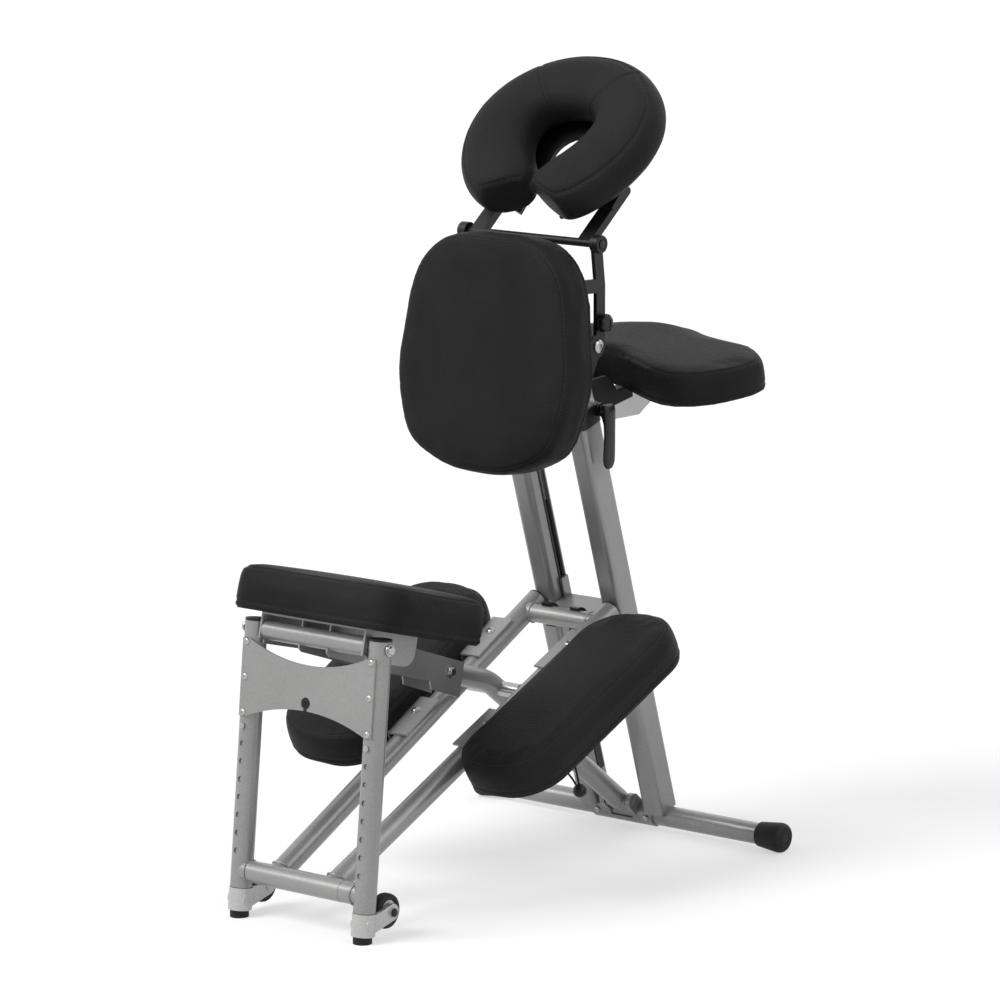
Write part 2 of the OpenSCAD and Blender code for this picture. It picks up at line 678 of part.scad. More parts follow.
// Seat: channel, pan with side flanges, cross tube, board and pad
channel_half = 26.5;
channel_wall = 2.5;
pan_low = 21;
pan_front = 100;
pan_back = 14;
flange_drop = 20;
flange_r = 21;
web_front = 224;
seat_mid = seat_len / 2 - seat_back;
channel_shares = [
  [0.507, -1.7], [0.846, -1.92], [0.865, -2.5], [1.108, -2.84], [1.105, -0.16], [0.69, 0.31], [0.417, 0.6]
];

module channel_wall_outline() polygon(concat(
  [[-pan_back / 2, -cross_r - tube_wall * 2], [0, -arm_pivot_drop - tube_wall * 2]],
  [for (s = channel_shares) [arm_pivot_along * s.x, arm_pivot_drop * s.y]],
  [[pan_front, pan_low], [-pan_back / 2, pan_low]]));
module seat_channel() color(frame_grey) difference() {
  seat_frame() difference() {
    side_plate(-channel_half, channel_half) channel_wall_outline();
    translate([-channel_half + channel_wall, -pan_back * 2, -arm_pivot_drop * 1.75 + channel_wall])
      cube([2 * (channel_half - channel_wall), web_front + pan_back * 2 - over, 3 * pan_low]);
    translate([-channel_half + channel_wall, web_front - over * 2, -arm_pivot_drop * 4])
      cube([2 * (channel_half - channel_wall), arm_pivot_along, 6 * arm_pivot_drop]);
  }
  at_yz(p_arm) x_rod(-upright_x, upright_x, pin_r);
  at_yz(p_seat) x_rod(-upright_x, upright_x, cross_r);
}
module flange_outline() {
  difference() {
    translate([-pan_back, -flange_drop]) square([pan_front + pan_back, flange_drop + pan_low + sheet_t]);
    translate([pan_front - flange_r, -flange_drop - over]) square([flange_r + over, flange_r + over]);
    translate([-pan_back - over, -flange_drop - over])
      square([pan_back + over - cross_r * 0.2, flange_drop + over - cross_r * 0.9]);
  }
  translate([pan_front - flange_r, flange_r - flange_drop]) circle(flange_r);
  circle(pan_back);
}
module seat_pan() color(frame_grey) seat_frame() {
  translate([-pan_half, -pan_back, pan_low]) cube([2 * pan_half, pan_front + pan_back, sheet_t]);
  both() side_plate(pan_half - sheet_t, pan_half) flange_outline();
}
module seat_cross_tube() color(frame_grey) at_yz(p_seat) difference() {
  x_rod(-pan_half + sheet_t, pan_half - sheet_t, cross_r);
  x_rod(-pan_half, pan_half, cross_r - tube_wall);
}
seat_ring = with_mirror(round_box_half(seat_w, seat_len, seat_r, 6));
module seat_board() color(plastic_black) seat_frame() translate([0, seat_mid, pan_low + sheet_t])
  linear_extrude(board_t)
    rounded(seat_w - 2 * board_inset, seat_len - 2 * board_inset, seat_r - board_inset);
module seat_pad() color(vinyl_black) seat_frame() translate([0, seat_mid, pan_low + sheet_t + board_t])
  cushion(seat_ring, [-seat_w / 8, 0], [seat_w / 8, 0], pad_levels(seat_pad_t, crown_h, seam));
module seat_pivot_bolt() color(zinc) at_yz(p_arm) {
  x_rod(-channel_half - washer_t, channel_half + washer_t, pin_r);
  both() x_rod(channel_half, channel_half + washer_t, pivot_washer_r);
  both() x_head(channel_half + washer_t, pivot_head_r, head_t);
}

// Rear posts with their lower crossbar, panel and fasteners
post_inner_r = tube_r - tube_wall;
leg_r = post_inner_r - free_gap;
stub_shaft_r = tube_r - tube_wall * 1.5 - pin_gap;
stub_shaft_in = 30;
panel_t = 2.5;
panel_low = 287;
panel_high = 397;
panel_half = 120;
panel_dip = 24;
panel_arch = 22;
keyhole_up = 320;
keyhole_r = 8.5;
keyslot_w = 7;
keyslot_drop = 18;
panel_rivet_ups = [292, 342.5, 392];

module post_solid(r) post_frame() translate([post_x, 0, post_low]) cylinder(h = post_top - post_low, r = r);
module post_holes() post_frame() for (i = [0:7]) translate([post_x, 0, hole_low + i * hole_pitch])
  y_rod(-tube_d, 0, hole_d / 2);
module rear_post() difference() {
  post_solid(tube_r);
  post_frame() translate([post_x, 0, 0]) cylinder(h = 2 * post_top, r = post_inner_r);
  post_holes();
  at_yz(p_seat) x_rod(0, 2 * post_x, pin_r);
}
module rear_post_left() color(frame_grey) mirror([1, 0, 0]) rear_post();
module rear_post_right() color(frame_grey) rear_post();
module rear_post_caps() color(plastic_black) both() post_frame() translate([post_x, 0, post_top])
  cylinder(h = cap_t, r = tube_r);
module lower_crossbar() color(frame_grey) difference() {
  union() {
    both() at_yz(p_sleeve) x_rod(sleeve_half + free_gap, post_x, tube_r - free_gap);
    both() at_yz(p_sleeve) x_rod(stub_shaft_in, sleeve_half + 2 * free_gap, stub_shaft_r);
  }
  both() post_solid(tube_r);
  both() at_yz(p_sleeve) x_rod(stub_shaft_in - over, post_x, stub_shaft_r - tube_wall * 2);
}
module panel_outline() difference() {
  translate([-panel_half, panel_low]) square([2 * panel_half, panel_high - panel_low]);
  scale_dip(panel_high, -panel_dip);
  scale_dip(panel_low, panel_arch);
  translate([0, keyhole_up]) circle(keyhole_r);
  translate([-keyslot_w / 2, keyhole_up - keyslot_drop]) square([keyslot_w, keyslot_drop]);
}
// A shallow arc cut of the given depth into an edge at height z
dip_half = 108;
module scale_dip(z, depth) {
  r = (dip_half * dip_half + depth * depth) / (2 * abs(depth));
  translate([0, z + depth + (depth < 0 ? r : -r)]) circle(r, $fn = 180);
}
module rear_panel() color(frame_grey) post_frame() difference() {
  translate([0, -tube_r + over, 0]) rotate([90, 0, 0]) linear_extrude(panel_t + over) panel_outline();
  both() translate([post_x, 0, 0]) cylinder(h = post_top, r = tube_r);
  translate([-post_x + tube_r / 2, -tube_r, 0]) cube([2 * post_x - tube_r, tube_d, post_top]);
}
module rear_frame_fasteners() color(zinc) both() {
  post_frame() for (z = panel_rivet_ups) translate([post_x, 0, z])
    y_rod(-tube_r - panel_t - rivet_t, -tube_r - panel_t, rivet_r);
  at_yz(p_seat) x_rod(pan_half + free_gap, post_x + tube_r + washer_t, pin_r);
  at_yz(p_seat) x_rod(post_x + tube_r, post_x + tube_r + washer_t, pivot_washer_r);
  at_yz(p_seat) x_head(post_x + tube_r + washer_t, pivot_head_r, head_t);
}

// Legs: telescoping tube, casting with a wheel fork, and a rubber foot
leg_low = 26;
leg_high = 300;
leg_wall = 1.6;
rubber_r = 13.5;
rubber_h = 14;
casting_low = 10;
casting_top = 42;
wheel_play = 1.2;
fork_in = wheel_w / 2 + wheel_play;
fork_t = 5;
fork_w = 24;
axle_r = 4;
p_axle = [rear_y + wheel_reach, wheel_rise];
casting_mid = [rear_y + casting_top * 0.1, (casting_low + casting_top) / 2];

module leg_tube() difference() {
  post_frame() translate([post_x, 0, leg_low]) cylinder(h = leg_high - leg_low, r = leg_r);
  post_frame() translate([post_x, 0, leg_low - over])
    cylinder(h = leg_high - leg_low + 2 * over, r = leg_r - leg_wall);
  post_frame() translate([post_x, 0, hole_low + 7 * hole_pitch]) y_rod(-tube_d, 0, button_r + pin_gap);
}
module leg_tube_left() color(frame_grey) mirror([1, 0, 0]) leg_tube();
module leg_tube_right() color(frame_grey) leg_tube();
module foot_casting() difference() {
  union() {
    post_frame() translate([post_x, 0, casting_low]) cylinder(h = casting_top - casting_low, r = casting_r);
    translate([post_x, 0, 0]) for (sx = [-1, 1]) side_plate(sx * (fork_in + fork_t / 2) - fork_t / 2,
      sx * (fork_in + fork_t / 2) + fork_t / 2) bar_outline(casting_mid, p_axle, fork_w);
    at_yz(p_axle) x_rod(post_x - fork_in - fork_t - washer_t, post_x + fork_in + fork_t + washer_t, axle_r);
    for (sx = [-1, 1]) at_yz(p_axle) translate([post_x + sx * (fork_in + fork_t + washer_t / 2), 0, 0])
      x_rod(-washer_t / 2, washer_t / 2, axle_r * 1.8);
  }
  post_frame() translate([post_x, 0, leg_low]) cylinder(h = leg_high, r = leg_r);
  translate([post_x, rear_y, 0]) cylinder(h = rubber_h, r = rubber_r);
  translate([0, rear_y - tube_d, -tube_d]) cube([2 * post_x, 2 * tube_d, tube_d + casting_low]);
}
module foot_casting_left() color(bright) mirror([1, 0, 0]) foot_casting();
module foot_casting_right() color(bright) foot_casting();
module rubber_foot() translate([post_x, rear_y, 0]) cylinder(h = rubber_h, r = rubber_r);
module rubber_foot_left() color(plastic_black) mirror([1, 0, 0]) rubber_foot();
module rubber_foot_right() color(plastic_black) rubber_foot();
module wheel() at_yz(p_axle) translate([post_x, 0, 0]) rotate([0, 90, 0]) rotate_extrude() difference() {
  union() {
    translate([0, -wheel_w / 2]) square([wheel_d / 2 - wheel_w / 4, wheel_w]);
    translate([wheel_d / 2 - wheel_w / 4, -wheel_w / 4]) square([wheel_w / 4, wheel_w / 2]);
    for (sy = [-1, 1]) translate([wheel_d / 2 - wheel_w / 4, sy * wheel_w / 4]) circle(wheel_w / 4);
  }
  translate([-wheel_d, -wheel_w]) square([wheel_d + axle_r + pin_gap, 2 * wheel_w]);
  for (sy = [-1, 1]) translate([wheel_d * 0.2, sy * wheel_w / 2]) square([wheel_d * 0.2, wheel_w * 0.3], center = true);
}
module wheel_left() color(plastic_black) mirror([1, 0, 0]) wheel();
module wheel_right() color(plastic_black) wheel();

// Snap buttons: one in each leg, out through the post's top hole
button_r = hole_d / 2 - 3 * pin_gap;
button_out = 3;
button_in = 6;
module snap_button() post_frame() translate([post_x, 0, hole_low + 7 * hole_pitch])
  y_rod(-tube_r - button_out, -leg_r + button_in, button_r);
module snap_button_left() color(bright) mirror([1, 0, 0]) snap_button();
module snap_button_right() color(bright) snap_button();

// Mast: two posts that slide in the uprights, joined by the tilt crossbar
tilt_n = -3;
mast_top_past = 16;
mast_bar_r = 11;
rail_t = 6;
mast_bar_half = rail_x - rail_t / 2 - free_gap;
p_tilt = base_axis + turn([tilt_n, tilt_up], upright_lean);

module mast_posts(gap) base_frame() both() translate([upright_x, 0, upright_len - mast_grip])
  linear_extrude(tilt_up + mast_top_past - upright_len + mast_grip)
    rounded(mast_w + 2 * gap, mast_d + 2 * gap, mast_r + gap);
module mast_frame() color(bright) {
  difference() {
    mast_posts(0);
    base_frame() both() translate([upright_x, 0, upright_len - mast_grip - over])
      linear_extrude(tilt_up - mast_bar_r - tube_wall - upright_len + mast_grip)
        rounded(mast_w - 2 * tube_wall, mast_d - 2 * tube_wall, mast_r - tube_wall);
  }
  difference() {
    at_yz(p_tilt) x_rod(-mast_bar_half, mast_bar_half, mast_bar_r);
    mast_posts(bar_step);
    both() at_yz(p_tilt) x_rod(mast_bar_half - 2 * head_r, mast_bar_half + over, pin_r);
  }
}
module tilt_bolts() color(zinc) both() at_yz(p_tilt) {
  x_rod(mast_bar_half - 2 * head_r, rail_x + rail_t / 2 + free_gap, pin_r);
  x_head(rail_x + rail_t / 2 + free_gap, head_r, head_t);
}

// Cam levers on the collars
cam_len = 86;
cam_blade_t = 7;
cam_bite = 3;
module cam_lever() at_yz(p_cam) translate([cam_x, 0, 0]) difference() {
  union() {
    y_rod(-cam_w / 2, cam_w / 2, cam_r);
    translate([0, -cam_w / 2, -cam_len + cam_w / 2]) cube([cam_blade_t, cam_w, cam_len - cam_w / 2]);
    translate([0, 0, -cam_len + cam_w / 2]) x_rod(0, cam_blade_t, cam_w / 2);
  }
  y_rod(-cam_w, cam_w, cam_pin_r + pin_gap);
  translate([-cam_r * 2, -cam_bolt_r - free_gap, -cam_r * 2])
    cube([cam_r * 2 + cam_pin_r, 2 * (cam_bolt_r + free_gap), cam_r * 4]);
  translate([-cam_r * 2, -cam_bolt_r - free_gap, -cam_pin_r])
    cube([cam_r * 4, 2 * (cam_bolt_r + free_gap), cam_r * 4]);
}
module cam_lever_left() color(plastic_black) mirror([1, 0, 0]) cam_lever();
module cam_lever_right() color(plastic_black) cam_lever();

// Chest frame: side rails with lobes at the tilt bolts, cross tubes, board and pad
chest_back = chest_t + board_t;
rail_w = 20;
lobe_r = 17;
knuckle_y = 520;
knuckle_z = 917;
rail_y = 528;
rail_top_z = 856;
p_knuckle = [rear_y + knuckle_y, knuckle_z];
p_rail_top = [rear_y + rail_y, rail_top_z];
p_rail_low = [rear_y + rail_y, p_tilt.y + lobe_r];
chest_tube_r = 9;
chest_tube_out = chest_back + chest_tube_r + sheet_t;
function chest_point(v, d) = [rear_y + chest_y, chest_z] + turn([d, v], -chest_lean);
p_chest_low = chest_point(-chest_h * 0.29, chest_tube_out);
p_chest_high = chest_point(chest_h * 0.24, chest_tube_out);
knuckle_r = 13;
tilt_knob_z = 803;

module rail_outline() {
  bar_outline(p_knuckle, p_rail_top, rail_w);
  bar_outline(p_rail_top, p_rail_low, rail_w);
  bar_outline(p_rail_low, p_tilt, rail_w);
  bar_outline(p_tilt, p_chest_low, rail_w);
  bar_outline(p_rail_top, p_chest_high, rail_w);
  translate(p_tilt) circle(lobe_r);
  translate(p_knuckle) circle(knuckle_r);
}
module chest_rails() color(plastic_black) difference() {
  union() {
    both() side_plate(rail_x - rail_t / 2, rail_x + rail_t / 2) rail_outline();
    for (p = [p_chest_low, p_chest_high]) at_yz(p) x_rod(-rail_x, rail_x, chest_tube_r);
    chest_frame() both() for (v = [-chest_h * 0.29, chest_h * 0.24])
      translate([rail_x / 2, chest_back + chest_tube_out / 2 - chest_back / 2, v])
        cube([head_r * 4, chest_tube_out - chest_back, rail_w], center = true);
  }
  at_yz(p_tilt) x_rod(-2 * rail_x, 2 * rail_x, pin_r + pin_gap);
  at_yz(p_knuckle) x_rod(-2 * rail_x, 2 * rail_x, pin_r + pin_gap);
  at_yz([p_rail_low.x, tilt_knob_z]) x_rod(0, 2 * rail_x, knob_pin_r + pin_gap);
}
chest_half_shares = [
  [0, 0.431], [0.285, 0.431], [0.532, 0.411], [0.703, 0.361], [0.835, 0.284], [0.924, 0.164],
  [0.962, 0.032], [1, -0.097], [0.994, -0.202], [0.949, -0.308], [0.848, -0.431], [0.684, -0.499],
  [0.361, -0.557], [0, -0.569]
];
chest_half = [for (s = chest_half_shares) [s.x * chest_w / 2, s.y * chest_h]];
chest_ring = smooth_ring(with_mirror(chest_half), 2);
chest_board_scale = 0.965;
module chest_board() color(plastic_black) chest_frame() translate([0, chest_back, 0]) rotate([90, 0, 0])
  linear_extrude(board_t) polygon([for (p = chest_ring) p * chest_board_scale]);
module chest_pad() color(vinyl_black) chest_frame() translate([0, chest_t, 0]) rotate([90, 0, 0])
  cushion(chest_ring, [0, -chest_h * 0.27], [0, chest_h * 0.13], pad_levels(chest_t - crown_h, crown_h, seam));

// Knob that locks the tilt, on a stud through the right rail
knob_r = 13.5;
knob_t = 14;
knob_pin_r = 4;
module tilt_knob() color(plastic_black) at_yz([p_rail_low.x, tilt_knob_z]) {
  difference() {
    x_rod(rail_x + rail_t / 2 + free_gap, rail_x + rail_t / 2 + knob_t, knob_r);
    for (a = [0:45:315]) rotate([a, 0, 0]) translate([0, knob_r + over, 0])
      x_rod(rail_x, rail_x + 2 * knob_t, knob_r * 0.2);
  }
  x_rod(rail_x - rail_t / 2 - rivet_t * 2, rail_x + rail_t, knob_pin_r);
}

// Armrest: bracket on the hinge tube, board and pad
arm_half_shares = [[0.5, -0.105], [0.41, 0.152], [0.335, 0.214], [0.21, 0.295], [0.126, 0.381], [0, 0.4]];
arm_near_shares = [[0.439, -0.452], [0.335, -0.59], [0.23, -0.543], [0.117, -0.405], [0, -0.286]];
function arm_point(s) = [s.x * arm_w, s.y * arm_len];
arm_keys = concat(
  [arm_point([-arm_half_shares[0].x, arm_half_shares[0].y])],
  [for (i = [1:5]) arm_point([-arm_half_shares[i].x, arm_half_shares[i].y])],
  [for (i = [4:-1:0]) arm_point(arm_half_shares[i])],
  [for (i = [0:4]) arm_point(arm_near_shares[i])],
  [for (i = [3:-1:0]) arm_point([-arm_near_shares[i].x, arm_near_shares[i].y])]);
arm_ring = smooth_ring(arm_keys, 2);
arm_board_scale = 0.965;
bracket_x = 29.5;
bracket_t = 5;
bracket_hole_r = 7;
bracket_hole = [706, 668];
bracket_near = 100;
bracket_foot = 18;
bracket_points = [[672, 634], [738, 633], [768, 650], [730, 669], [712, 690], [672, 690]];
hinge_arm_in = 33;
hinge_arm_out = 39.5;
hinge_arm_r = 17;
hinge_arm_points = [
  [600, 651], [640, 652], [712, 664], [712, 683], [676, 676], [664, 690], [648, 703], [604, 700], [590, 682]
];
armrest_rest_z = -arm_t - board_t;
function placed(points) = [for (p = points) post_foot + p];

module armrest_bracket() color(bright) both() difference() {
  union() {
    side_plate(bracket_x - bracket_t / 2, bracket_x + bracket_t / 2) polygon(placed(bracket_points));
    armrest_frame() translate([bracket_x - bracket_foot, -bracket_near, armrest_rest_z - sheet_t])
      cube([bracket_foot, bracket_near / 2, 2 * sheet_t]);
  }
  armrest_frame() translate([0, -arm_len, armrest_rest_z]) cube([arm_w / 2, 2 * arm_len, arm_t]);
  at_yz(post_foot + bracket_hole) x_rod(0, upright_x, bracket_hole_r);
}
module armrest_board() color(plastic_black) difference() {
  union() {
    armrest_frame() translate([0, 0, armrest_rest_z])
      linear_extrude(board_t) polygon([for (p = arm_ring) p * arm_board_scale]);
    both() side_plate(hinge_arm_in, hinge_arm_out) {
      polygon(placed(hinge_arm_points));
      translate(p_rest) circle(hinge_arm_r);
    }
  }
  at_yz(p_rest) x_rod(-upright_x, upright_x, hinge_tube_r + pin_gap);
}
module armrest_pad() color(vinyl_black) armrest_frame() translate([0, 0, -arm_t])
  cushion(arm_ring, [-arm_w * 0.4, -arm_len], [arm_w * 0.4, arm_len], pad_levels(arm_t - crown_h, crown_h, seam));

// Face cradle: hinged arms, platform and horseshoe cushion
cradle_rise = 38.3;
cradle_arm_len = 108;
cradle_arm_x = 98;
cradle_arm_w = 24;
cradle_arm_t = 12;
cradle_tip_r = 5.5;
p_cradle_tip = p_knuckle + heading(cradle_rise) * cradle_arm_len;
platform_t = 6;
platform_low = -roll_t / 2 - platform_t;
face_sides = 12;
face_power = 2.6;
// Stations from a limb's end round to the crown: inner point, outer point, share of the thickness
face_shares = [
  [0.007, -0.31, 0.2, -0.43, 0.62], [0.007, -0.3, 0.262, -0.426, 0.9], [0.009, -0.262, 0.34, -0.38, 0.98],
  [0.043, -0.2, 0.422, -0.276, 1], [0.098, -0.124, 0.477, -0.145, 1], [0.141, -0.041, 0.5, -0.007, 1],
  [0.159, 0.041, 0.483, 0.145, 1], [0.147, 0.103, 0.41, 0.297, 1], [0.104, 0.138, 0.291, 0.414, 1],
  [0.052, 0.152, 0.147, 0.483, 1], [0, 0.155, 0, 0.503, 1]
];
face_keys = concat(face_shares,
  [for (i = [len(face_shares) - 2:-1:0]) let(s = face_shares[i]) [-s[0], s[1], -s[2], s[3], s[4]]]);
function smooth_run(k, steps) = let(n = len(k))
  [for (i = [0:n - 2], s = [0:steps - 1]) blend4(k[max(i - 1, 0)], k[i], k[i + 1], k[min(i + 2, n - 1)], s / steps)];
face_run = concat(smooth_run(face_keys, 2), [face_keys[len(face_keys) - 1]]);
function bulge(v) = sign(v) * pow(abs(v), 2 / face_power);
function face_ring(s) = let(
  a = [s[0] * face_w, s[1] * face_len, 0],
  b = [s[2] * face_w, s[3] * face_len, 0])
  [for (j = [0:face_sides - 1]) let(c = j * 360 / face_sides)
    (a + b) / 2 + (b - a) / 2 * bulge(cos(c)) + [0, 0, min(s[4], 1) * roll_t / 2 * bulge(sin(c))]];

module cradle_arms() color(plastic_black) {
  at_yz(p_knuckle) x_rod(-rail_x - rail_t, rail_x + rail_t, pin_r);
  both() at_yz(p_knuckle) x_rod(rail_x + rail_t / 2 + free_gap, rail_x + rail_t * 1.5, knuckle_r);
  both() side_plate(cradle_arm_x - cradle_arm_w / 2, cradle_arm_x + cradle_arm_w / 2)
    bar_outline(p_knuckle, p_cradle_tip, cradle_arm_t);
  at_yz(p_cradle_tip) x_rod(-cradle_arm_x, cradle_arm_x, cradle_tip_r);
}
platform_share = 0.36;
platform_hole_share = 0.11;
module platform_outline() difference() {
  union() {
    circle(face_w * platform_share);
    translate([-face_w * platform_share, -face_len * 0.3]) square([face_w * platform_share * 2, face_len * 0.3]);
  }
  circle(face_w * platform_hole_share);
  translate([-face_w * platform_hole_share, -face_len]) square([face_w * platform_hole_share * 2, face_len]);
}
tab_half = 14;
tab_in = 60;
module cradle_platform() color(plastic_black) difference() {
  union() {
    cradle_frame() translate([0, 0, platform_low]) linear_extrude(platform_t) platform_outline();
    both() translate([tab_in, 0, 0]) side_plate(0, tab_half) platform_lug();
  }
  at_yz(p_cradle_tip) x_rod(-2 * rail_x, 2 * rail_x, cradle_tip_r + pin_gap);
}
function cradle_point(w, h) = [rear_y + face_y, face_z] + turn([w, h], face_slope);
module platform_lug() {
  bar_outline(p_cradle_tip, cradle_point(0, platform_low - tab_half / 2), cradle_arm_t + tab_half);
}
module face_cushion() color(vinyl_black) cradle_frame() skin([for (s = face_run) face_ring(s)]);

base_tube();
base_end_caps();
base_saddle();
upright_left();
upright_right();
slot_strips();
upright_collars();
armrest_hinge_tube();
hinge_plate();
carriage_bearings();
knee_tube_left();
knee_tube_right();
knee_tube_caps();
knee_crossbar();
lower_sleeve();
knee_brackets();
knee_frame_bolts();
knee_boards();
knee_pad_left();
knee_pad_right();
seat_arm_tube();
pivot_bushes();
elastic_cord();
cord_ball();
seat_channel();
seat_pan();
seat_cross_tube();
seat_board();
seat_pad();
seat_pivot_bolt();
rear_post_left();
rear_post_right();
rear_post_caps();
rear_panel();
rear_frame_fasteners();
lower_crossbar();
leg_tube_left();
leg_tube_right();
foot_casting_left();
foot_casting_right();
rubber_foot_left();
rubber_foot_right();
wheel_left();
wheel_right();
snap_button_left();
snap_button_right();
mast_frame();
tilt_bolts();
tilt_knob();
cam_lever_left();
cam_lever_right();
chest_rails();
chest_board();
chest_pad();
armrest_bracket();
armrest_board();
armrest_pad();
cradle_arms();
cradle_platform();
face_cushion();
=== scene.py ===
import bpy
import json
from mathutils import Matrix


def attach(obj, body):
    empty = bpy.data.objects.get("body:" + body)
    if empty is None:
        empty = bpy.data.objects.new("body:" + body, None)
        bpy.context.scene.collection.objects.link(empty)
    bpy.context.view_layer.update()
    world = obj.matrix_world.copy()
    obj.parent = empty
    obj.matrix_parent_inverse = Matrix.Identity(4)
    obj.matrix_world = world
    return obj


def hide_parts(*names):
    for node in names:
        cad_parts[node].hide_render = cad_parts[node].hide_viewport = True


bl_info = {
    "name": "Folding Massage Chair",
    "version": (1, 0, 0),
    "blender": (4, 5, 0),
    "location": "View3D > Sidebar > Massage Chair",
    "description": "Dresses the frame of a folding massage chair with its padding, fittings and finishes",
    "category": "Add Mesh",
}

import json
from math import atan2, copysign, cos, degrees, pi, radians, sin

import bmesh
import bpy
from bpy.props import FloatProperty, FloatVectorProperty, PointerProperty
from mathutils import Matrix, Vector
from mathutils.bvhtree import BVHTree
from mathutils.kdtree import KDTree

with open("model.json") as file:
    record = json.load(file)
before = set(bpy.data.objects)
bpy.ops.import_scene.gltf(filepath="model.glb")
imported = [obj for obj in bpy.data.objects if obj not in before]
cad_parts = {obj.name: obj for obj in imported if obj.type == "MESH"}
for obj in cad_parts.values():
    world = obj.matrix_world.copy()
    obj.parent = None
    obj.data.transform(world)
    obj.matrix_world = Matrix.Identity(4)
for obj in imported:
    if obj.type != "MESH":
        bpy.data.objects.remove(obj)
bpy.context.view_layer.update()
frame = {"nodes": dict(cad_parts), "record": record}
BODY_OF = {n: b for b, ns in frame["record"]["behaviour"]["bodies"].items() for n in ns}

# Places of the chair's own frames, in metres: the rear feet, then pivots as (y, z) in front of them
REAR = -0.4170795
BASE_AXIS = (0.760, 0.0224)
LOW_SLEEVE = (0.0067101, 0.0660601)
SEAT_PIVOT = (0.0414331, 0.4079011)
CARRIAGE = (0.5940202, 0.3459645)
SCISSOR = (0.4359938, 0.2679925)
ARM_PIVOT = (0.3002840, 0.3187684)
UPRIGHT_LEAN = 17.5
POST_LEAN = 5.8
POST_X = 0.113
TUBE_R = 0.0159
BOLT_R = 0.006
AXIS_R = 0.0001  # innermost radius of a turned profile
KNEE_TUBE_WAY = (0.0194, 0.6806)  # a knee tube's run across and along the knee frame
STITCH_PITCH, STITCH_LENGTH, STITCH_R = 0.0042, 0.0031, 0.00055


# ---------- places


def at(y, z, lean=0.0, x=0.0):
    """A place in front of the rear feet, leaning about X by so many degrees."""
    return Matrix.Translation((x, REAR + y, z)) @ Matrix.Rotation(radians(lean), 4, "X")


def shift(x, y, z):
    return Matrix.Translation((x, y, z))


def turned(angle, axis):
    return Matrix.Rotation(radians(angle), 4, axis)


KNEE_SLOPE = degrees(atan2(CARRIAGE[1] - LOW_SLEEVE[1], CARRIAGE[0] - LOW_SLEEVE[0]))
SEAT_PLACE = at(*SEAT_PIVOT, -15)
KNEE_PLACE = at(*LOW_SLEEVE, KNEE_SLOPE)
KNEE_BOARD_PLACE = (
    KNEE_PLACE @ shift(0.1705, 0.4435, 0) @ turned(-2.5, "Z") @ shift(0, 0, -0.0066) @ turned(-5.6, "Y")
)
CHEST_PLACE = at(0.401, 0.785, -6.1)
ARMREST_PLACE = at(0.759, 0.745, 10)
FACE_PLACE = at(0.5924, 1.053, 44)
POST_PLACE = at(0, 0, -POST_LEAN)
BASE_PLACE = at(*BASE_AXIS, UPRIGHT_LEAN)
TILT_PLACE = BASE_PLACE @ shift(0, -0.003, 0.7844)
UNMOVED = Matrix.Identity(4)
MIRROR = Matrix.Scale(-1, 4, (1, 0, 0))
HANDS = (("right", UNMOVED), ("left", MIRROR))


# ---------- settings


def length_property(name, default, low, high):
    note = name + " in metres"
    return FloatProperty(name=name, description=note, default=default, min=low, max=high, unit="LENGTH")


class ChairSizes(bpy.types.PropertyGroup):
    seat_width: length_property("Seat pad width", 0.296, 0.2, 0.4)
    seat_length: length_property("Seat pad length", 0.228, 0.15, 0.3)
    seat_depth: length_property("Seat pad thickness", 0.055, 0.03, 0.08)
    knee_width: length_property("Knee pad width", 0.167, 0.12, 0.2)
    knee_length: length_property("Knee pad length", 0.387, 0.3, 0.45)
    knee_depth: length_property("Knee pad thickness", 0.049, 0.03, 0.07)
    chest_width: length_property("Chest pad width", 0.316, 0.25, 0.4)
    chest_height: length_property("Chest pad height", 0.341, 0.3, 0.4)
    chest_depth: length_property("Chest pad thickness", 0.060, 0.04, 0.08)
    arm_width: length_property("Armrest pad width", 0.500, 0.4, 0.56)
    arm_length: length_property("Armrest pad length", 0.210, 0.15, 0.25)
    arm_depth: length_property("Armrest pad thickness", 0.048, 0.03, 0.07)
    face_width: length_property("Face cushion width", 0.327, 0.28, 0.36)
    face_length: length_property("Face cushion length", 0.290, 0.25, 0.33)
    face_depth: length_property("Face cushion thickness", 0.076, 0.05, 0.09)
    cord_diameter: length_property("Cord diameter", 0.0032, 0.002, 0.006)


def colour_property(what, default):
    note = "Colour of the " + what.lower()
    return FloatVectorProperty(
        name=what, description=note, default=default, size=3, min=0.0, max=1.0, subtype="COLOR"
    )


class ChairColours(bpy.types.PropertyGroup):
    vinyl: colour_property("Vinyl of the pads", (0.0180, 0.0180, 0.0182))
    frame: colour_property("Powder coat of the frame", (0.305, 0.305, 0.302))
    dark_frame: colour_property("Black painted steel", (0.010, 0.010, 0.0105))
    casting: colour_property("Castings and mast", (0.50, 0.50, 0.495))
    plastic: colour_property("Moulded plastic", (0.0085, 0.0085, 0.009))
    rubber: colour_property("Rubber feet and tyres", (0.007, 0.007, 0.0073))
    zinc: colour_property("Plated bolts and rivets", (0.42, 0.42, 0.415))
    thread: colour_property("Seam thread", (0.028, 0.028, 0.029))
    board: colour_property("Boards under the pads", (0.0075, 0.0075, 0.008))
    floor: colour_property("Floor", (0.80, 0.80, 0.80))


def sizes():
    return bpy.context.scene.chair_sizes


def colours():
    return bpy.context.scene.chair_colours


# ---------- shared surface effects


SURFACE = ("Height", "Tone", "Roughness")


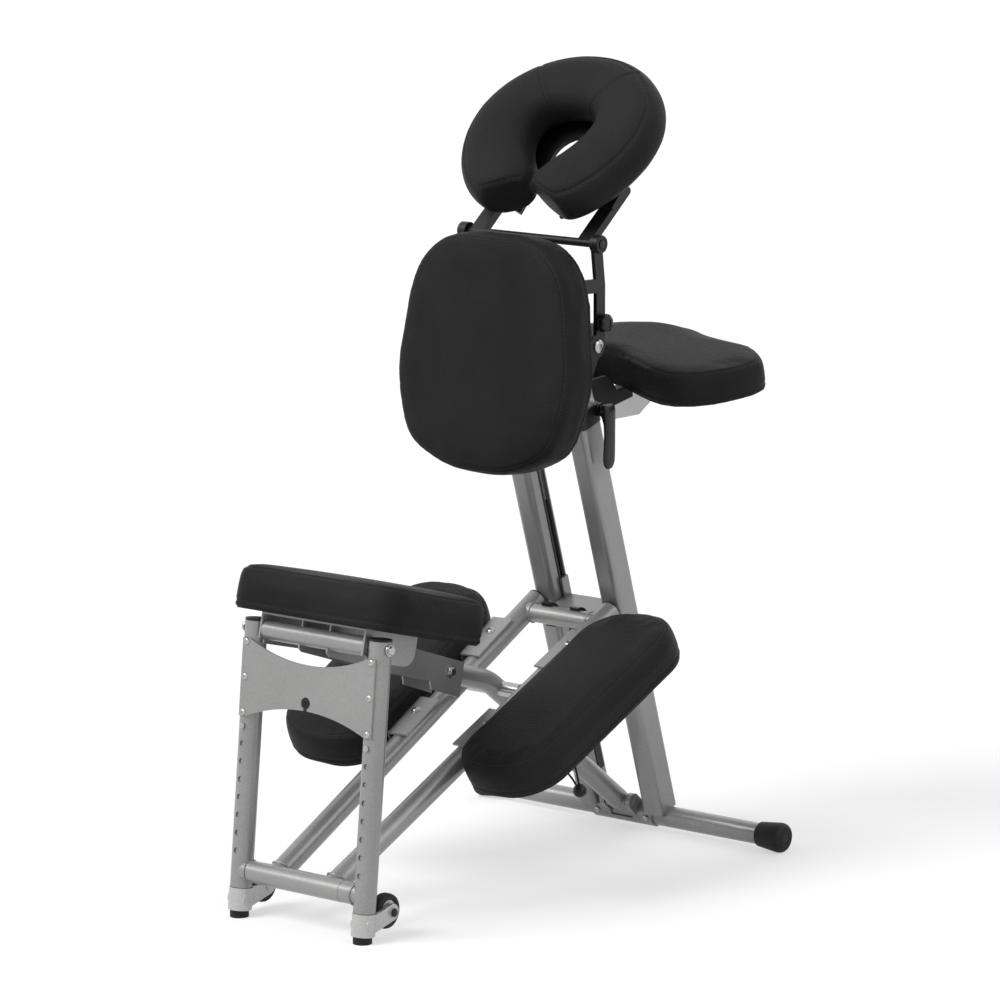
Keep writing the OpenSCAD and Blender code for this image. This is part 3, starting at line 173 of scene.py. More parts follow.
def texture(fill, values):
    """The shader group that a function fills, made once, with those float inputs and up to three outputs."""
    group = bpy.data.node_groups.get(fill.__name__)
    if group:
        return group
    group = bpy.data.node_groups.new(fill.__name__, "ShaderNodeTree")
    for label, value in values.items():
        socket = group.interface.new_socket(label, in_out="INPUT", socket_type="NodeSocketFloat")
        socket.default_value = value
    source = group.nodes.new("NodeGroupInput")
    place = group.nodes.new("ShaderNodeTexCoord").outputs["Object"]
    results = fill(group, place, source.outputs)
    for label in SURFACE[:len(results)]:
        group.interface.new_socket(label, in_out="OUTPUT", socket_type="NodeSocketFloat")
    sink = group.nodes.new("NodeGroupOutput")
    for label, result in zip(SURFACE, results):
        group.links.new(result, sink.inputs[label])
    return group


def maths(tree, kind, a, b):
    """A Math node of that kind over two sockets or numbers."""
    node = tree.nodes.new("ShaderNodeMath")
    node.operation = kind
    for slot, value in zip(node.inputs, (a, b)):
        if isinstance(value, (int, float)):
            slot.default_value = value
        else:
            tree.links.new(value, slot)
    return node.outputs[0]


def added(tree, *values):
    total = values[0]
    for value in values[1:]:
        total = maths(tree, "ADD", total, value)
    return total


def times(tree, a, b):
    return maths(tree, "MULTIPLY", a, b)


def spread(tree, value, low, high, to_low=0.0, to_high=1.0):
    node = tree.nodes.new("ShaderNodeMapRange")
    tree.links.new(value, node.inputs["Value"])
    for label, number in (("From Min", low), ("From Max", high), ("To Min", to_low), ("To Max", to_high)):
        node.inputs[label].default_value = number
    return node.outputs["Result"]


def noise(tree, place, scale, detail=3.0, rough=0.5):
    node = tree.nodes.new("ShaderNodeTexNoise")
    tree.links.new(place, node.inputs["Vector"])
    if isinstance(scale, (int, float)):
        node.inputs["Scale"].default_value = scale
    else:
        tree.links.new(scale, node.inputs["Scale"])
    node.inputs["Detail"].default_value = detail
    node.inputs["Roughness"].default_value = rough
    return node.outputs[0]


def vinyl_grain(tree, place, given):
    """Pebbled grain of the vinyl, with soft creases and a slow change of tone."""
    pebble = tree.nodes.new("ShaderNodeTexVoronoi")
    pebble.feature = "SMOOTH_F1"
    tree.links.new(place, pebble.inputs["Vector"])
    tree.links.new(given["Pebble Scale"], pebble.inputs["Scale"])
    pebble.inputs["Smoothness"].default_value = 0.35
    pore = noise(tree, place, 1400.0, 1.0)
    crease = noise(tree, place, given["Crease Scale"], 4.0, 0.55)
    slow = noise(tree, place, 7.0)
    dome = maths(tree, "SUBTRACT", 1.0, pebble.outputs["Distance"])
    folds = times(tree, crease, given["Crease Depth"])
    height = added(tree, times(tree, dome, 0.75), times(tree, pore, 0.25), folds)
    grit, wear = spread(tree, dome, 0.4, 1.0, 0.06, -0.04), spread(tree, slow, 0.3, 0.7, 0.0, 0.09)
    return height, spread(tree, slow, 0.3, 0.7), added(tree, grit, wear, 0.40)


def powder_coat(tree, place, given):
    """Orange peel and metal fleck of powder coat, with faint handling marks."""
    peel = noise(tree, place, given["Peel Scale"], 2.0)
    fleck = noise(tree, place, given["Fleck Scale"], 1.0)
    slow = noise(tree, place, 9.0)
    rub = noise(tree, place, 55.0, 4.0, 0.65)
    tone = added(tree, spread(tree, fleck, 0.35, 0.65, 0.0, 0.65), spread(tree, slow, 0.3, 0.7, 0.0, 0.35))
    worn, drift = spread(tree, rub, 0.52, 0.75, 0.0, 0.03), spread(tree, slow, 0.3, 0.7, -0.02, 0.03)
    return peel, tone, added(tree, given["Base Roughness"], worn, drift)


def moulded_skin(tree, place, given):
    """Spark-eroded skin of moulded plastic and rubber, with scuffs."""
    grain = noise(tree, place, given["Grain Scale"], 2.0, 0.6)
    tone = spread(tree, noise(tree, place, 14.0), 0.3, 0.7)
    scuff = spread(tree, noise(tree, place, 120.0, 5.0, 0.7), 0.55, 0.78, 0.0, 0.14)
    return grain, tone, added(tree, given["Base Roughness"], scuff)


def plain_weave(tree, place, given):
    """Plain weave of the cloth under the boards and of the braided cord."""
    split = tree.nodes.new("ShaderNodeSeparateXYZ")
    tree.links.new(place, split.inputs[0])
    x, y, z = split.outputs
    across = added(tree, x, times(tree, z, 0.6))
    along = added(tree, y, times(tree, z, 0.8), times(tree, across, given["Slant"]))
    rate = times(tree, given["Thread Scale"], 6.2832)
    warp, weft = (maths(tree, "SINE", times(tree, way, rate), 0.0) for way in (across, along))
    tone = spread(tree, noise(tree, place, 60.0, 2.0), 0.3, 0.7)
    return spread(tree, times(tree, warp, weft), -1.0, 1.0), tone


# ---------- finishes


COAT, SKIN, WEAVE = (0.82, 1.18), (0.85, 1.3), (0.8, 1.35)
# slot: material, colour, texture, its inputs, darker and paler tone, gloss, relief's strength, depth, metal
FINISHES = {
    "vinyl": ("black_vinyl", "vinyl", vinyl_grain, (400.0, 22.0, 0.3), (0.82, 1.3), 0.05, (0.9, 0.0009), 0.0),
    "frame": (
        "silver_powder_coat", "frame", powder_coat, (420.0, 900.0, 0.30), COAT, 0.35, (0.10, 0.0004), 0.36
    ),
    "dark_frame": (
        "black_powder_coat", "dark_frame", powder_coat, (420.0, 900.0, 0.40), COAT, 0.3, (0.10, 0.0004), 0.0
    ),
    "casting": (
        "bright_casting", "casting", powder_coat, (420.0, 900.0, 0.26), COAT, 0.5, (0.16, 0.0004), 0.45
    ),
    "zinc": ("zinc_plate", "zinc", powder_coat, (420.0, 900.0, 0.22), COAT, 0.5, (0.06, 0.0004), 0.95),
    "plastic": ("black_plastic", "plastic", moulded_skin, (1100.0, 0.36), SKIN, 0.3, (0.22, 0.0003), 0.0),
    "rubber": ("black_rubber", "rubber", moulded_skin, (700.0, 0.62), SKIN, 0.3, (0.4, 0.0003), 0.0),
    "thread": ("seam_thread", "thread", moulded_skin, (2400.0, 0.55), SKIN, 0.3, (0.5, 0.0003), 0.0),
    "board": ("board_wrap", "board", plain_weave, (480.0, 0.0), WEAVE, 0.25, (0.35, 0.0004), 0.0),
    "cord": ("elastic_braid", "plastic", plain_weave, (620.0, 0.7), WEAVE, 0.25, (0.8, 0.0004), 0.0),
}
TEXTURE_INPUTS = {
    vinyl_grain: ("Pebble Scale", "Crease Scale", "Crease Depth"),
    powder_coat: ("Peel Scale", "Fleck Scale", "Base Roughness"),
    moulded_skin: ("Grain Scale", "Base Roughness"),
    plain_weave: ("Thread Scale", "Slant"),
}
WEAVE_ROUGHNESS = 0.72


def finish(slot):
    """A slot's material, made once: two tones of one colour, with the relief and roughness of a texture."""
    name, colour_name, fill, numbers, tones, gloss, relief, metal = FINISHES[slot]
    material = bpy.data.materials.get(name)
    if material:
        return material
    colour = getattr(bpy.context.scene.chair_colours, colour_name)
    values = dict(zip(TEXTURE_INPUTS[fill], numbers))
    material = bpy.data.materials.new(name)
    material.use_nodes = True
    tree = material.node_tree
    shader = tree.nodes["Principled BSDF"]
    skin = tree.nodes.new("ShaderNodeGroup")
    skin.node_tree = texture(fill, values)
    for label, value in values.items():
        skin.inputs[label].default_value = value
    mix = tree.nodes.new("ShaderNodeMix")
    mix.data_type = "RGBA"
    tree.links.new(skin.outputs["Tone"], mix.inputs["Factor"])
    for shade, share in zip(mix.inputs[6:8], tones):
        shade.default_value = [min(c * share, 1.0) for c in colour] + [1.0]
    tree.links.new(mix.outputs[2], shader.inputs["Base Color"])
    if skin.outputs.get("Roughness"):
        tree.links.new(skin.outputs["Roughness"], shader.inputs["Roughness"])
    else:
        shader.inputs["Roughness"].default_value = WEAVE_ROUGHNESS
    shader.inputs["Metallic"].default_value = metal
    shader.inputs["Specular IOR Level"].default_value = gloss
    bump = tree.nodes.new("ShaderNodeBump")
    for label, value in zip(("Strength", "Distance"), relief):
        bump.inputs[label].default_value = value
    tree.links.new(skin.outputs["Height"], bump.inputs["Height"])
    tree.links.new(bump.outputs["Normal"], shader.inputs["Normal"])
    return material


# ---------- mesh work


def make_piece(name, points, faces, material, place=None, sharp=None):
    """A smooth shaded mesh piece, its normals outwards."""
    mesh = bpy.data.meshes.new(name)
    mesh.from_pydata([tuple(p) for p in points], [], faces)
    tidy = bmesh.new()
    tidy.from_mesh(mesh)
    if place is not None:
        tidy.transform(place)
    bmesh.ops.remove_doubles(tidy, verts=tidy.verts, dist=1e-6)
    bmesh.ops.recalc_face_normals(tidy, faces=tidy.faces)
    tidy.to_mesh(mesh)
    tidy.free()
    mesh.shade_smooth()
    if sharp is not None:
        mesh.set_sharp_from_angle(angle=radians(sharp))
    mesh.materials.append(material)
    piece = bpy.data.objects.new(name, mesh)
    bpy.context.scene.collection.objects.link(piece)
    return piece


def loft(rings, closed=False):
    """Points and quads through equal rings of points, with flat ends or joined up into a loop."""
    size, count = len(rings[0]), len(rings)
    points = [p for ring in rings for p in ring]
    faces = []
    for k in range(count if closed else count - 1):
        here, there = k * size, (k + 1) % count * size
        faces += [(here + j, here + (j + 1) % size, there + (j + 1) % size, there + j) for j in range(size)]
    if not closed:
        faces.append(tuple(range(size)))
        faces.append(tuple((count - 1) * size + j for j in reversed(range(size))))
    return points, faces


def lathed(profile, sides=40, shape=None):
    """A profile of (radius, height) turned round Z; shape changes a radius by its angle."""
    shape = shape or (lambda r, h, a: r)
    rings = []
    for radius, height in profile:
        ring = []
        for j in range(sides):
            angle = 2 * pi * j / sides
            r = shape(radius, height, angle)
            ring.append(Vector((r * cos(angle), r * sin(angle), height)))
        rings.append(ring)
    return loft(rings)


def joined(parts):
    """One list of points and one of faces from (points, faces, place) parts."""
    points, faces = [], []
    for part_points, part_faces, place in parts:
        start = len(points)
        points.extend(place @ Vector(p) for p in part_points)
        faces.extend(tuple(start + i for i in face) for face in part_faces)
    return points, faces


def aim(place, direction):
    """A place whose Z axis points that way."""
    return place @ Vector(direction).to_track_quat("Z", "Y").to_matrix().to_4x4()


def outward(place, x):
    """The place moved along X, with its Z axis turned to X."""
    return aim(place @ shift(x, 0, 0), (1, 0, 0))


def in_hexagon(radius, angle, across):
    """The radius, cut off at a hexagon of that width across its flats."""
    step = pi / 3
    local = (angle + step / 2) % step - step / 2
    return min(radius, across / 2 / cos(local))


def hex_head(radius, depth):
    """A bolt head with a chamfered hexagon, a washer face and a dished top."""
    shares = [(1.02, 0.0), (1.05, 0.12), (1.0, 0.2), (0.96, 0.22), (0.96, 0.85), (0.82, 1), (0.3, 0.97)]
    head = [(radius * r, depth * h) for r, h in shares]

    def cut(r, h, a):
        return in_hexagon(r, a, radius * 1.7) if h > depth * 0.21 and r > radius * 0.8 else r

    return lathed([(AXIS_R, 0.0)] + head + [(AXIS_R, depth * 0.97)], 48, cut)


def socket_head(radius, depth):
    """A button head with a hexagonal socket."""
    socket = radius * 0.46
    profile = [(AXIS_R, 0.0), (radius, 0.0), (radius, depth * 0.28), (radius * 0.92, depth * 0.62),
               (radius * 0.74, depth * 0.88), (socket * 1.2, depth), (socket * 1.04, depth),
               (socket, depth * 0.94), (socket, depth * 0.45), (AXIS_R, depth * 0.38)]

    def cut(r, h, a):
        return in_hexagon(r, a, socket * 1.75) if r <= socket * 1.05 else r

    return lathed(profile, 48, cut)


def rivet_head(radius, depth):
    """A domed rivet with the mandrel's dimple."""
    shares = [(1, 0.0), (0.97, 0.3), (0.84, 0.66), (0.6, 0.92), (0.36, 1), (0.28, 0.94), (0.24, 0.6)]
    dome = [(radius * r, depth * h) for r, h in shares]
    return lathed([(AXIS_R, 0.0)] + dome + [(AXIS_R, depth * 0.55)], 32)


def washer_ring(radius, hole, depth):
    edge = [(radius * 0.97, 0.0), (radius, depth * 0.3), (radius, depth * 0.7), (radius * 0.97, depth)]
    return lathed([(hole, 0.0)] + edge + [(hole, depth)])


def plain_rod(radius, depth, sides=24):
    return lathed([(AXIS_R, 0.0), (radius, 0.0), (radius, depth), (AXIS_R, depth)], sides)


def swept(line, radius, sides=8, closed=False, shape=None):
    """A tube along a line of points, with flat ends unless it is closed."""
    count = len(line)
    rings = []
    side = None
    for i, p in enumerate(line):
        before = line[(i - 1) % count] if closed or i else line[0]
        after = line[(i + 1) % count] if closed or i < count - 1 else line[-1]
        way = (after - before).normalized()
        if side is None:
            side = way.orthogonal().normalized()
        side = (side - way * side.dot(way)).normalized()
        other = way.cross(side)
        r = radius * (shape(i, count) if shape else 1.0)
        turns = [2 * pi * j / sides for j in range(sides)]
        rings.append([p + side * r * cos(a) + other * r * sin(a) for a in turns])
    return loft(rings, closed)


def weld_bead(radius, place, bend=0.0, thickness=0.0017, steps=84):
    """A rippled bead round a joint: a ring in the place's XY plane, bent at its sides to meet a tube."""
    turns = [2 * pi * i / steps for i in range(steps)]
    line = [place @ Vector((radius * cos(a), radius * sin(a), bend * sin(a) ** 2)) for a in turns]
    return swept(line, thickness, 8, True, lambda i, n: 1.0 + 0.16 * sin(i * 2.1) + 0.05 * sin(i * 5.3))


# ---------- padding


def blend4(p, q, r, s, t):
    """A point between q and r on the smooth curve through p, q, r and s."""
    square, cube = 2 * p - 5 * q + 4 * r - s, 3 * q - p - 3 * r + s
    return 0.5 * (2 * q + (r - p) * t + square * t * t + cube * t * t * t)


def smooth(keys, steps, closed=False):
    """Points on the smooth curve through the keys, joined up into a ring where it is closed."""
    keys = [Vector(k) for k in keys]
    n = len(keys)
    line = []
    for i in range(n if closed else n - 1):
        around = [i + k if closed else min(max(i + k, 0), n - 1) for k in (-1, 0, 1, 2)]
        p, q, r, t = (keys[k % n] for k in around)
        line += [blend4(p, q, r, t, step / steps) for step in range(steps)]
    return line if closed else line + [keys[-1]]


def mirrored(half):
    """A clockwise ring from its right half, whose first and last points lie on the middle line."""
    return list(half) + [(-x, y) for x, y in reversed(half[1:-1])]


def round_box(width, length, corner, bow=0.0015, steps=9):
    """A ring with round corners and slightly bowed ends."""
    x_in, y_in = width / 2 - corner, length / 2 - corner
    far = [(x_in * i / 4, length / 2 + bow * (1 - (2 * x_in * i / 4 / width) ** 2)) for i in range(4)]
    angles = [radians(90 - 90 * i / steps) for i in range(steps + 1)]
    turns = [(corner * cos(a), corner * sin(a)) for a in angles]
    half = far + [(x_in + x, y_in + y) for x, y in turns]
    half += [(width / 2, y_in * (1 - i / 4)) for i in range(1, 8)]
    half += [(x_in + x, -y_in - y) for x, y in reversed(turns)]
    half += [(x, -y) for x, y in reversed(far)]
    return [Vector(p) for p in mirrored(half)]


def drawn_in(ring, distance):
    """The ring moved inwards by a distance."""
    n = len(ring)
    moved = []
    for i in range(n):
        way = ring[(i + 1) % n] - ring[i - 1]
        normal = Vector((way.y, -way.x)).normalized() if way.length > 1e-9 else Vector((0, 0))
        moved.append(ring[i] + normal * distance)
    return moved


def to_spine(point, low, high, twin):
    mid = (point + twin) / 2
    return Vector((min(max(mid.x, low[0]), high[0]), min(max(mid.y, low[1]), high[1])))


def pad_form(ring, low, high, depth, crown, lip, wrap=0.0076, start_in=-0.0008):
    """Rings of a pad: its cover wraps the board's edge, then has a slightly full side and a crowned face."""
    side = [(0.0040 - lip, -wrap), (0.0014 - lip, 0.0012 - wrap), (0.0006 - lip, 0.0035 - wrap),
            (0.0004 - lip, 0.0), (0.0006, 0.0045), (0.0, 0.011), (-0.0004, depth * 0.45),
            (0.0002, depth * 0.74), (0.0012, depth - 0.0105), (0.0038, depth - 0.0040),
            (0.0078, depth - 0.0008)]
    n = len(ring)
    rings = []
    for inset, height in side:
        rings.append([Vector((p.x, p.y, height)) for p in drawn_in(ring, inset + start_in)])
    edge = drawn_in(ring, 0.0078 + start_in)
    spine = [to_spine(ring[i], low, high, ring[(n - i) % n]) for i in range(n)]
    for share in (0.07, 0.16, 0.28, 0.42, 0.58, 0.74, 0.9, 0.985):
        rise = crown * (1 - (1 - share) ** 2.2)
        rings.append([Vector((*(edge[i] + (spine[i] - edge[i]) * share), depth + rise)) for i in range(n)])
    return rings


def changed(piece, kind, **values):
    """The piece's mesh with one modifier of that kind applied."""
    change = piece.modifiers.new(kind.lower(), kind)
    for label, value in values.items():
        setattr(change, label, value)
    old = piece.data
    graph = bpy.context.evaluated_depsgraph_get()
    mesh = bpy.data.meshes.new_from_object(piece.evaluated_get(graph))
    piece.modifiers.clear()
    piece.data = mesh
    mesh.name = old.name
    bpy.data.meshes.remove(old)


def remeshed(piece, voxel):
    changed(piece, "REMESH", mode="VOXEL", voxel_size=voxel)


def relaxed(piece, rounds):
    changed(piece, "SMOOTH", factor=0.5, iterations=rounds)


def finer(piece):
    changed(piece, "SUBSURF", levels=1, render_levels=1)


def filled(piece, cap, held, pressure=2.5, frames=14):
    """Blows the cover up like a stuffed cushion: cloth under pressure, moved by the cap at most."""
    scene = bpy.context.scene
    start = [v.co.copy() for v in piece.data.vertices]
    group = piece.vertex_groups.new(name="held")
    for i, p in enumerate(start):
        if held(p) > 0:
            group.add([i], held(p), "REPLACE")
    cloth = piece.modifiers.new("fill", "CLOTH")
    springs = dict(quality=5, mass=0.25, tension_stiffness=18, compression_stiffness=18, shear_stiffness=8,
                   bending_stiffness=0.8, use_pressure=True, uniform_pressure_force=pressure,
                   vertex_group_mass="held")
    for label, value in springs.items():
        setattr(cloth.settings, label, value)
    cloth.settings.effector_weights.gravity = 0.0
    cloth.collision_settings.use_self_collision = False
    cloth.collision_settings.use_collision = False
    cloth.point_cache.frame_start, cloth.point_cache.frame_end = 1, frames
    for number in range(1, frames + 1):
        scene.frame_set(number)
    graph = bpy.context.evaluated_depsgraph_get()
    moved = [v.co.copy() for v in piece.evaluated_get(graph).data.vertices]
    piece.modifiers.clear()
    scene.frame_set(1)
    for v, a, b in zip(piece.data.vertices, start, moved):
        step = b - a
        if step.length > cap:
            step = step * (cap / step.length)
        v.co = a + step * (1 - held(a))
    piece.vertex_groups.clear()
    piece.data.update()


def laid_on(piece, line):
    """Points of a line moved on to the piece's surface, with the surface's normals."""
    mesh = piece.data
    tree = BVHTree.FromPolygons([v.co for v in mesh.vertices], [tuple(p.vertices) for p in mesh.polygons])
    return [tree.find_nearest(p)[:2] for p in line]


def even_line(line, step, closed):
    """The line with points an even step apart."""
    points = list(line) + ([line[0]] if closed else [])
    lengths = [0.0]
    for a, b in zip(points, points[1:]):
        lengths.append(lengths[-1] + (b - a).length)
    count = max(int(lengths[-1] / step), 4)
    out, k = [], 0
    for i in range(count if closed else count + 1):
        s = lengths[-1] * i / count
        while k < len(lengths) - 2 and lengths[k + 1] < s:
            k += 1
        span = lengths[k + 1] - lengths[k]
        out.append(points[k].lerp(points[k + 1], (s - lengths[k]) / span if span > 0 else 0))
    return out


def seam_pressed(piece, lines, width, depth, pucker=0.3):
    """A sewn channel along each line, with the small puckers of its stitches."""
    dots = []
    for line, closed in lines:
        dots.extend((p, i) for i, p in enumerate(even_line(line, 0.0012, closed)))
    tree = KDTree(len(dots))
    for i, (p, run) in enumerate(dots):
        tree.insert(p, i)
    tree.balance()
    mesh = piece.data
    normals = [n.vector.copy() for n in mesh.vertex_normals]
    for v in mesh.vertices:
        near, index, distance = tree.find(v.co)
        if distance < width:
            fall = (1 - (distance / width) ** 2) ** 2
            wave = 1 + pucker * sin(dots[index][1] * 1.15) * sin(dots[index][1] * 0.31)
            v.co = v.co - normals[v.index] * depth * fall * wave
    mesh.update()


# A stitch along its length: share of the length, share of the thread's radius, height in radii
STITCH_SHARES = ((0.0, 0.35, -0.8), (0.18, 0.9, 0.0), (0.5, 1.0, 0.3), (0.82, 0.9, 0.0), (1.0, 0.35, -0.8))


def stitched(name, lines):
    """Rows of separate stitches along lines of (point, normal)."""
    parts = []
    for row, closed in lines:
        line = [p for p, n in row]
        normals = KDTree(len(row))
        for i, p in enumerate(line):
            normals.insert(p, i)
        normals.balance()
        run = even_line(line, STITCH_PITCH, closed)
        for i, p in enumerate(run):
            q = run[(i + 1) % len(run)] if closed or i < len(run) - 1 else p + (p - run[i - 1])
            way = (q - p).normalized()
            normal = row[normals.find(p)[1]][1]
            side = normal.cross(way).normalized()
            rings = []
            for t, grow, sink in STITCH_SHARES:
                centre = p + way * STITCH_LENGTH * t + normal * STITCH_R * (0.35 + sink)
                r = STITCH_R * grow
                turns = [k * pi / 3 for k in range(6)]
                rings.append([centre + side * r * cos(a) + normal * r * sin(a) for a in turns])
            parts.append((*loft(rings), UNMOVED))
    return make_piece(name, *joined(parts), finish("thread"))


def upholstered(name, ring, low, high, depth, crown, voxel=0.0055, lip=0.0):
    """A pad in its own frame, filled and sewn. Returns the piece and the seam's lines."""
    piece = make_piece(name, *loft(pad_form(ring, low, high, depth, crown, lip)), finish("vinyl"))
    remeshed(piece, voxel)
    relaxed(piece, 3)
    filled(piece, 0.0016, lambda p: 1.0 if p.z < 0.004 else max(0.0, 1.0 - (p.z - 0.004) / 0.016))
    relaxed(piece, 2)
    finer(piece)
    seam, tuck = (
        laid_on(piece, even_line([Vector((p.x, p.y, z)) for p in drawn_in(ring, inset)], 0.003, True))
        for inset, z in ((0.0052, depth - 0.0018), (-0.003, 0.0025))
    )
    seam_pressed(piece, [([p for p, n in seam], True)], 0.0042, 0.0017)
    seam_pressed(piece, [([p for p, n in tuck], True)], 0.0040, 0.0016, 0.15)
    return piece, [(laid_on(piece, [p - n * 0.0012 for p, n in seam]), True)]


def dressed(piece, sewn, place, node, mirror=False):
    """Puts a finished pad and its thread in place, on the body of the node that it stands for."""
    thread = stitched(piece.name + "_seam", sewn)
    for part in (piece, thread):
        part.data.transform(place)
        if mirror:
            part.data.transform(MIRROR)
            part.data.flip_normals()
        part.data.shade_smooth()
        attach(part, BODY_OF[node])
    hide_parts(node)


def copied(piece, name):
    twin = bpy.data.objects.new(name, piece.data.copy())
    twin.data.name = name
    bpy.context.scene.collection.objects.link(twin)
    return twin


class CHAIR_OT_seat_pad(bpy.types.Operator):
    """Makes the seat's padding"""

    bl_idname = "chair.seat_pad"
    bl_label = "Seat padding"

    def execute(self, context):
        s = sizes()
        ring = round_box(s.seat_width, s.seat_length, 0.034)
        reach = s.seat_width / 8
        low, high = (-reach, 0), (reach, 0)
        piece, sewn = upholstered("seat_cushion", ring, low, high, s.seat_depth, 0.004, lip=0.0012)
        place = SEAT_PLACE @ shift(0, s.seat_length / 2 - 0.033, 0.032)
        dressed(piece, sewn, place, "seat_pad")
        return {"FINISHED"}


class CHAIR_OT_knee_pads(bpy.types.Operator):
    """Makes the padding of both knee rests"""

    bl_idname = "chair.knee_pads"
    bl_label = "Knee padding"

    def execute(self, context):
        s = sizes()
        ring = round_box(s.knee_width, s.knee_length, 0.066)
        reach = s.knee_length / 4
        piece, sewn = upholstered("knee_cushion_right", ring, (0, -reach), (0, reach), s.knee_depth, 0.002)
        left = copied(piece, "knee_cushion_left")
        place = KNEE_BOARD_PLACE @ shift(0, 0, 0.008)
        dressed(piece, sewn, place, "knee_pad_right")
        dressed(left, sewn, place, "knee_pad_left", mirror=True)
        return {"FINISHED"}


CHEST_HALF = [
    (0, 0.431), (0.285, 0.431), (0.532, 0.411), (0.703, 0.361), (0.835, 0.284), (0.924, 0.164),
    (0.962, 0.032), (1, -0.097), (0.994, -0.202), (0.949, -0.308), (0.848, -0.431), (0.684, -0.499),
    (0.361, -0.557), (0, -0.569),
]


class CHAIR_OT_chest_pad(bpy.types.Operator):
    """Makes the chest rest's padding"""

    bl_idname = "chair.chest_pad"
    bl_label = "Chest padding"

    def execute(self, context):
        s = sizes()
        half = [(x * s.chest_width / 2, y * s.chest_height) for x, y in CHEST_HALF]
        ring = smooth(mirrored(half), 4, True)
        low, high = (0, -s.chest_height * 0.27), (0, s.chest_height * 0.13)
        depth = s.chest_depth - 0.004
        piece, sewn = upholstered("chest_cushion", ring, low, high, depth, 0.004, voxel=0.006)
        place = CHEST_PLACE @ shift(0, s.chest_depth, 0) @ turned(90, "X")
        dressed(piece, sewn, place, "chest_pad")
        return {"FINISHED"}


ARM_FAR = [(0.5, -0.105), (0.41, 0.152), (0.335, 0.214), (0.21, 0.295), (0.126, 0.381), (0, 0.4)]
ARM_NEAR = [(0.439, -0.452), (0.335, -0.59), (0.23, -0.543), (0.117, -0.405), (0, -0.286)]


class CHAIR_OT_armrest_pad(bpy.types.Operator):
    """Makes the armrest's padding"""

    bl_idname = "chair.armrest_pad"
    bl_label = "Armrest padding"

    def execute(self, context):
        s = sizes()
        w, l = s.arm_width, s.arm_length
        right = [(x * w, y * l) for x, y in reversed(ARM_FAR)] + [(x * w, y * l) for x, y in ARM_NEAR]
        ring = smooth(mirrored(right), 5, True)
        low, high = (-w * 0.4, -l), (w * 0.4, l)
        depth = s.arm_depth - 0.004
        piece, sewn = upholstered("armrest_cushion", ring, low, high, depth, 0.004, voxel=0.006, lip=0.0010)
        dressed(piece, sewn, ARMREST_PLACE @ shift(0, 0, -s.arm_depth), "armrest_pad")
        return {"FINISHED"}


# The face cushion from a limb's end round to its crown: inner point, outer point, share of its thickness
FACE_STATIONS = [
    (0.008, -0.338, 0.21, -0.448, 0.86), (0.006, -0.326, 0.255, -0.443, 0.97),
    (0.007, -0.275, 0.335, -0.39, 1),
    (0.043, -0.2, 0.422, -0.276, 1), (0.098, -0.124, 0.477, -0.145, 1), (0.141, -0.041, 0.5, -0.007, 1),
    (0.159, 0.041, 0.483, 0.145, 1), (0.147, 0.103, 0.41, 0.297, 1), (0.104, 0.138, 0.291, 0.414, 1),
    (0.052, 0.152, 0.147, 0.483, 1), (0, 0.155, 0, 0.503, 1),
]


class CHAIR_OT_face_cushion(bpy.types.Operator):
    """Makes the horseshoe cushion of the face rest"""

    bl_idname = "chair.face_cushion"
    bl_label = "Face cushion"

    def execute(self, context):
        s = sizes()
        keys = [Vector(k) for k in FACE_STATIONS]
        keys += [Vector((-k[0], k[1], -k[2], k[3], k[4])) for k in reversed(keys[:-1])]
        run = smooth(keys, 4)

        def across(k, u, v):
            a = Vector((k[0] * s.face_width, k[1] * s.face_length, 0))
            b = Vector((k[2] * s.face_width, k[3] * s.face_length, 0))
            return (a + b) / 2 + (b - a) / 2 * u + Vector((0, 0, min(k[4], 1) * s.face_depth / 2 * v))

        def bulge(v):
            return (1 if v > 0 else -1) * abs(v) ** (2 / 2.5)

        turns = [2 * pi * j / 28 for j in range(28)]
        rings = [[across(k, 0.985 * bulge(cos(a)), 0.975 * bulge(sin(a))) for a in turns] for k in run]
        piece = make_piece("face_rest_cushion", *loft(rings), finish("vinyl"))
        remeshed(piece, 0.005)
        relaxed(piece, 2)
        base = -s.face_depth / 2
        filled(piece, 0.0018, lambda p: max(0.0, 1.0 - (p.z - base) / 0.014))
        relaxed(piece, 2)
        finer(piece)
        count = len(run)
        routes = [[across(k, 0.80, 0.86) for k in run[2:-2]]]
        for i in (int(count * 0.40), int(count * 0.60)):
            routes.append([across(run[i], cos(radians(d)), sin(radians(d))) for d in range(38, 190, 8)])
        for i in (2, count - 3):
            routes.append([across(run[i], 0.84 - 1.72 * j / 20, 0.90) for j in range(21)])
        seams = [laid_on(piece, route) for route in routes]
        seam_pressed(piece, [([p for p, n in seam], False) for seam in seams], 0.0045, 0.0019)
        sewn = [(laid_on(piece, [p - n * 0.0013 for p, n in seam]), False) for seam in seams]
        dressed(piece, sewn, FACE_PLACE, "face_cushion")
        return {"FINISHED"}


# ---------- elastic cord

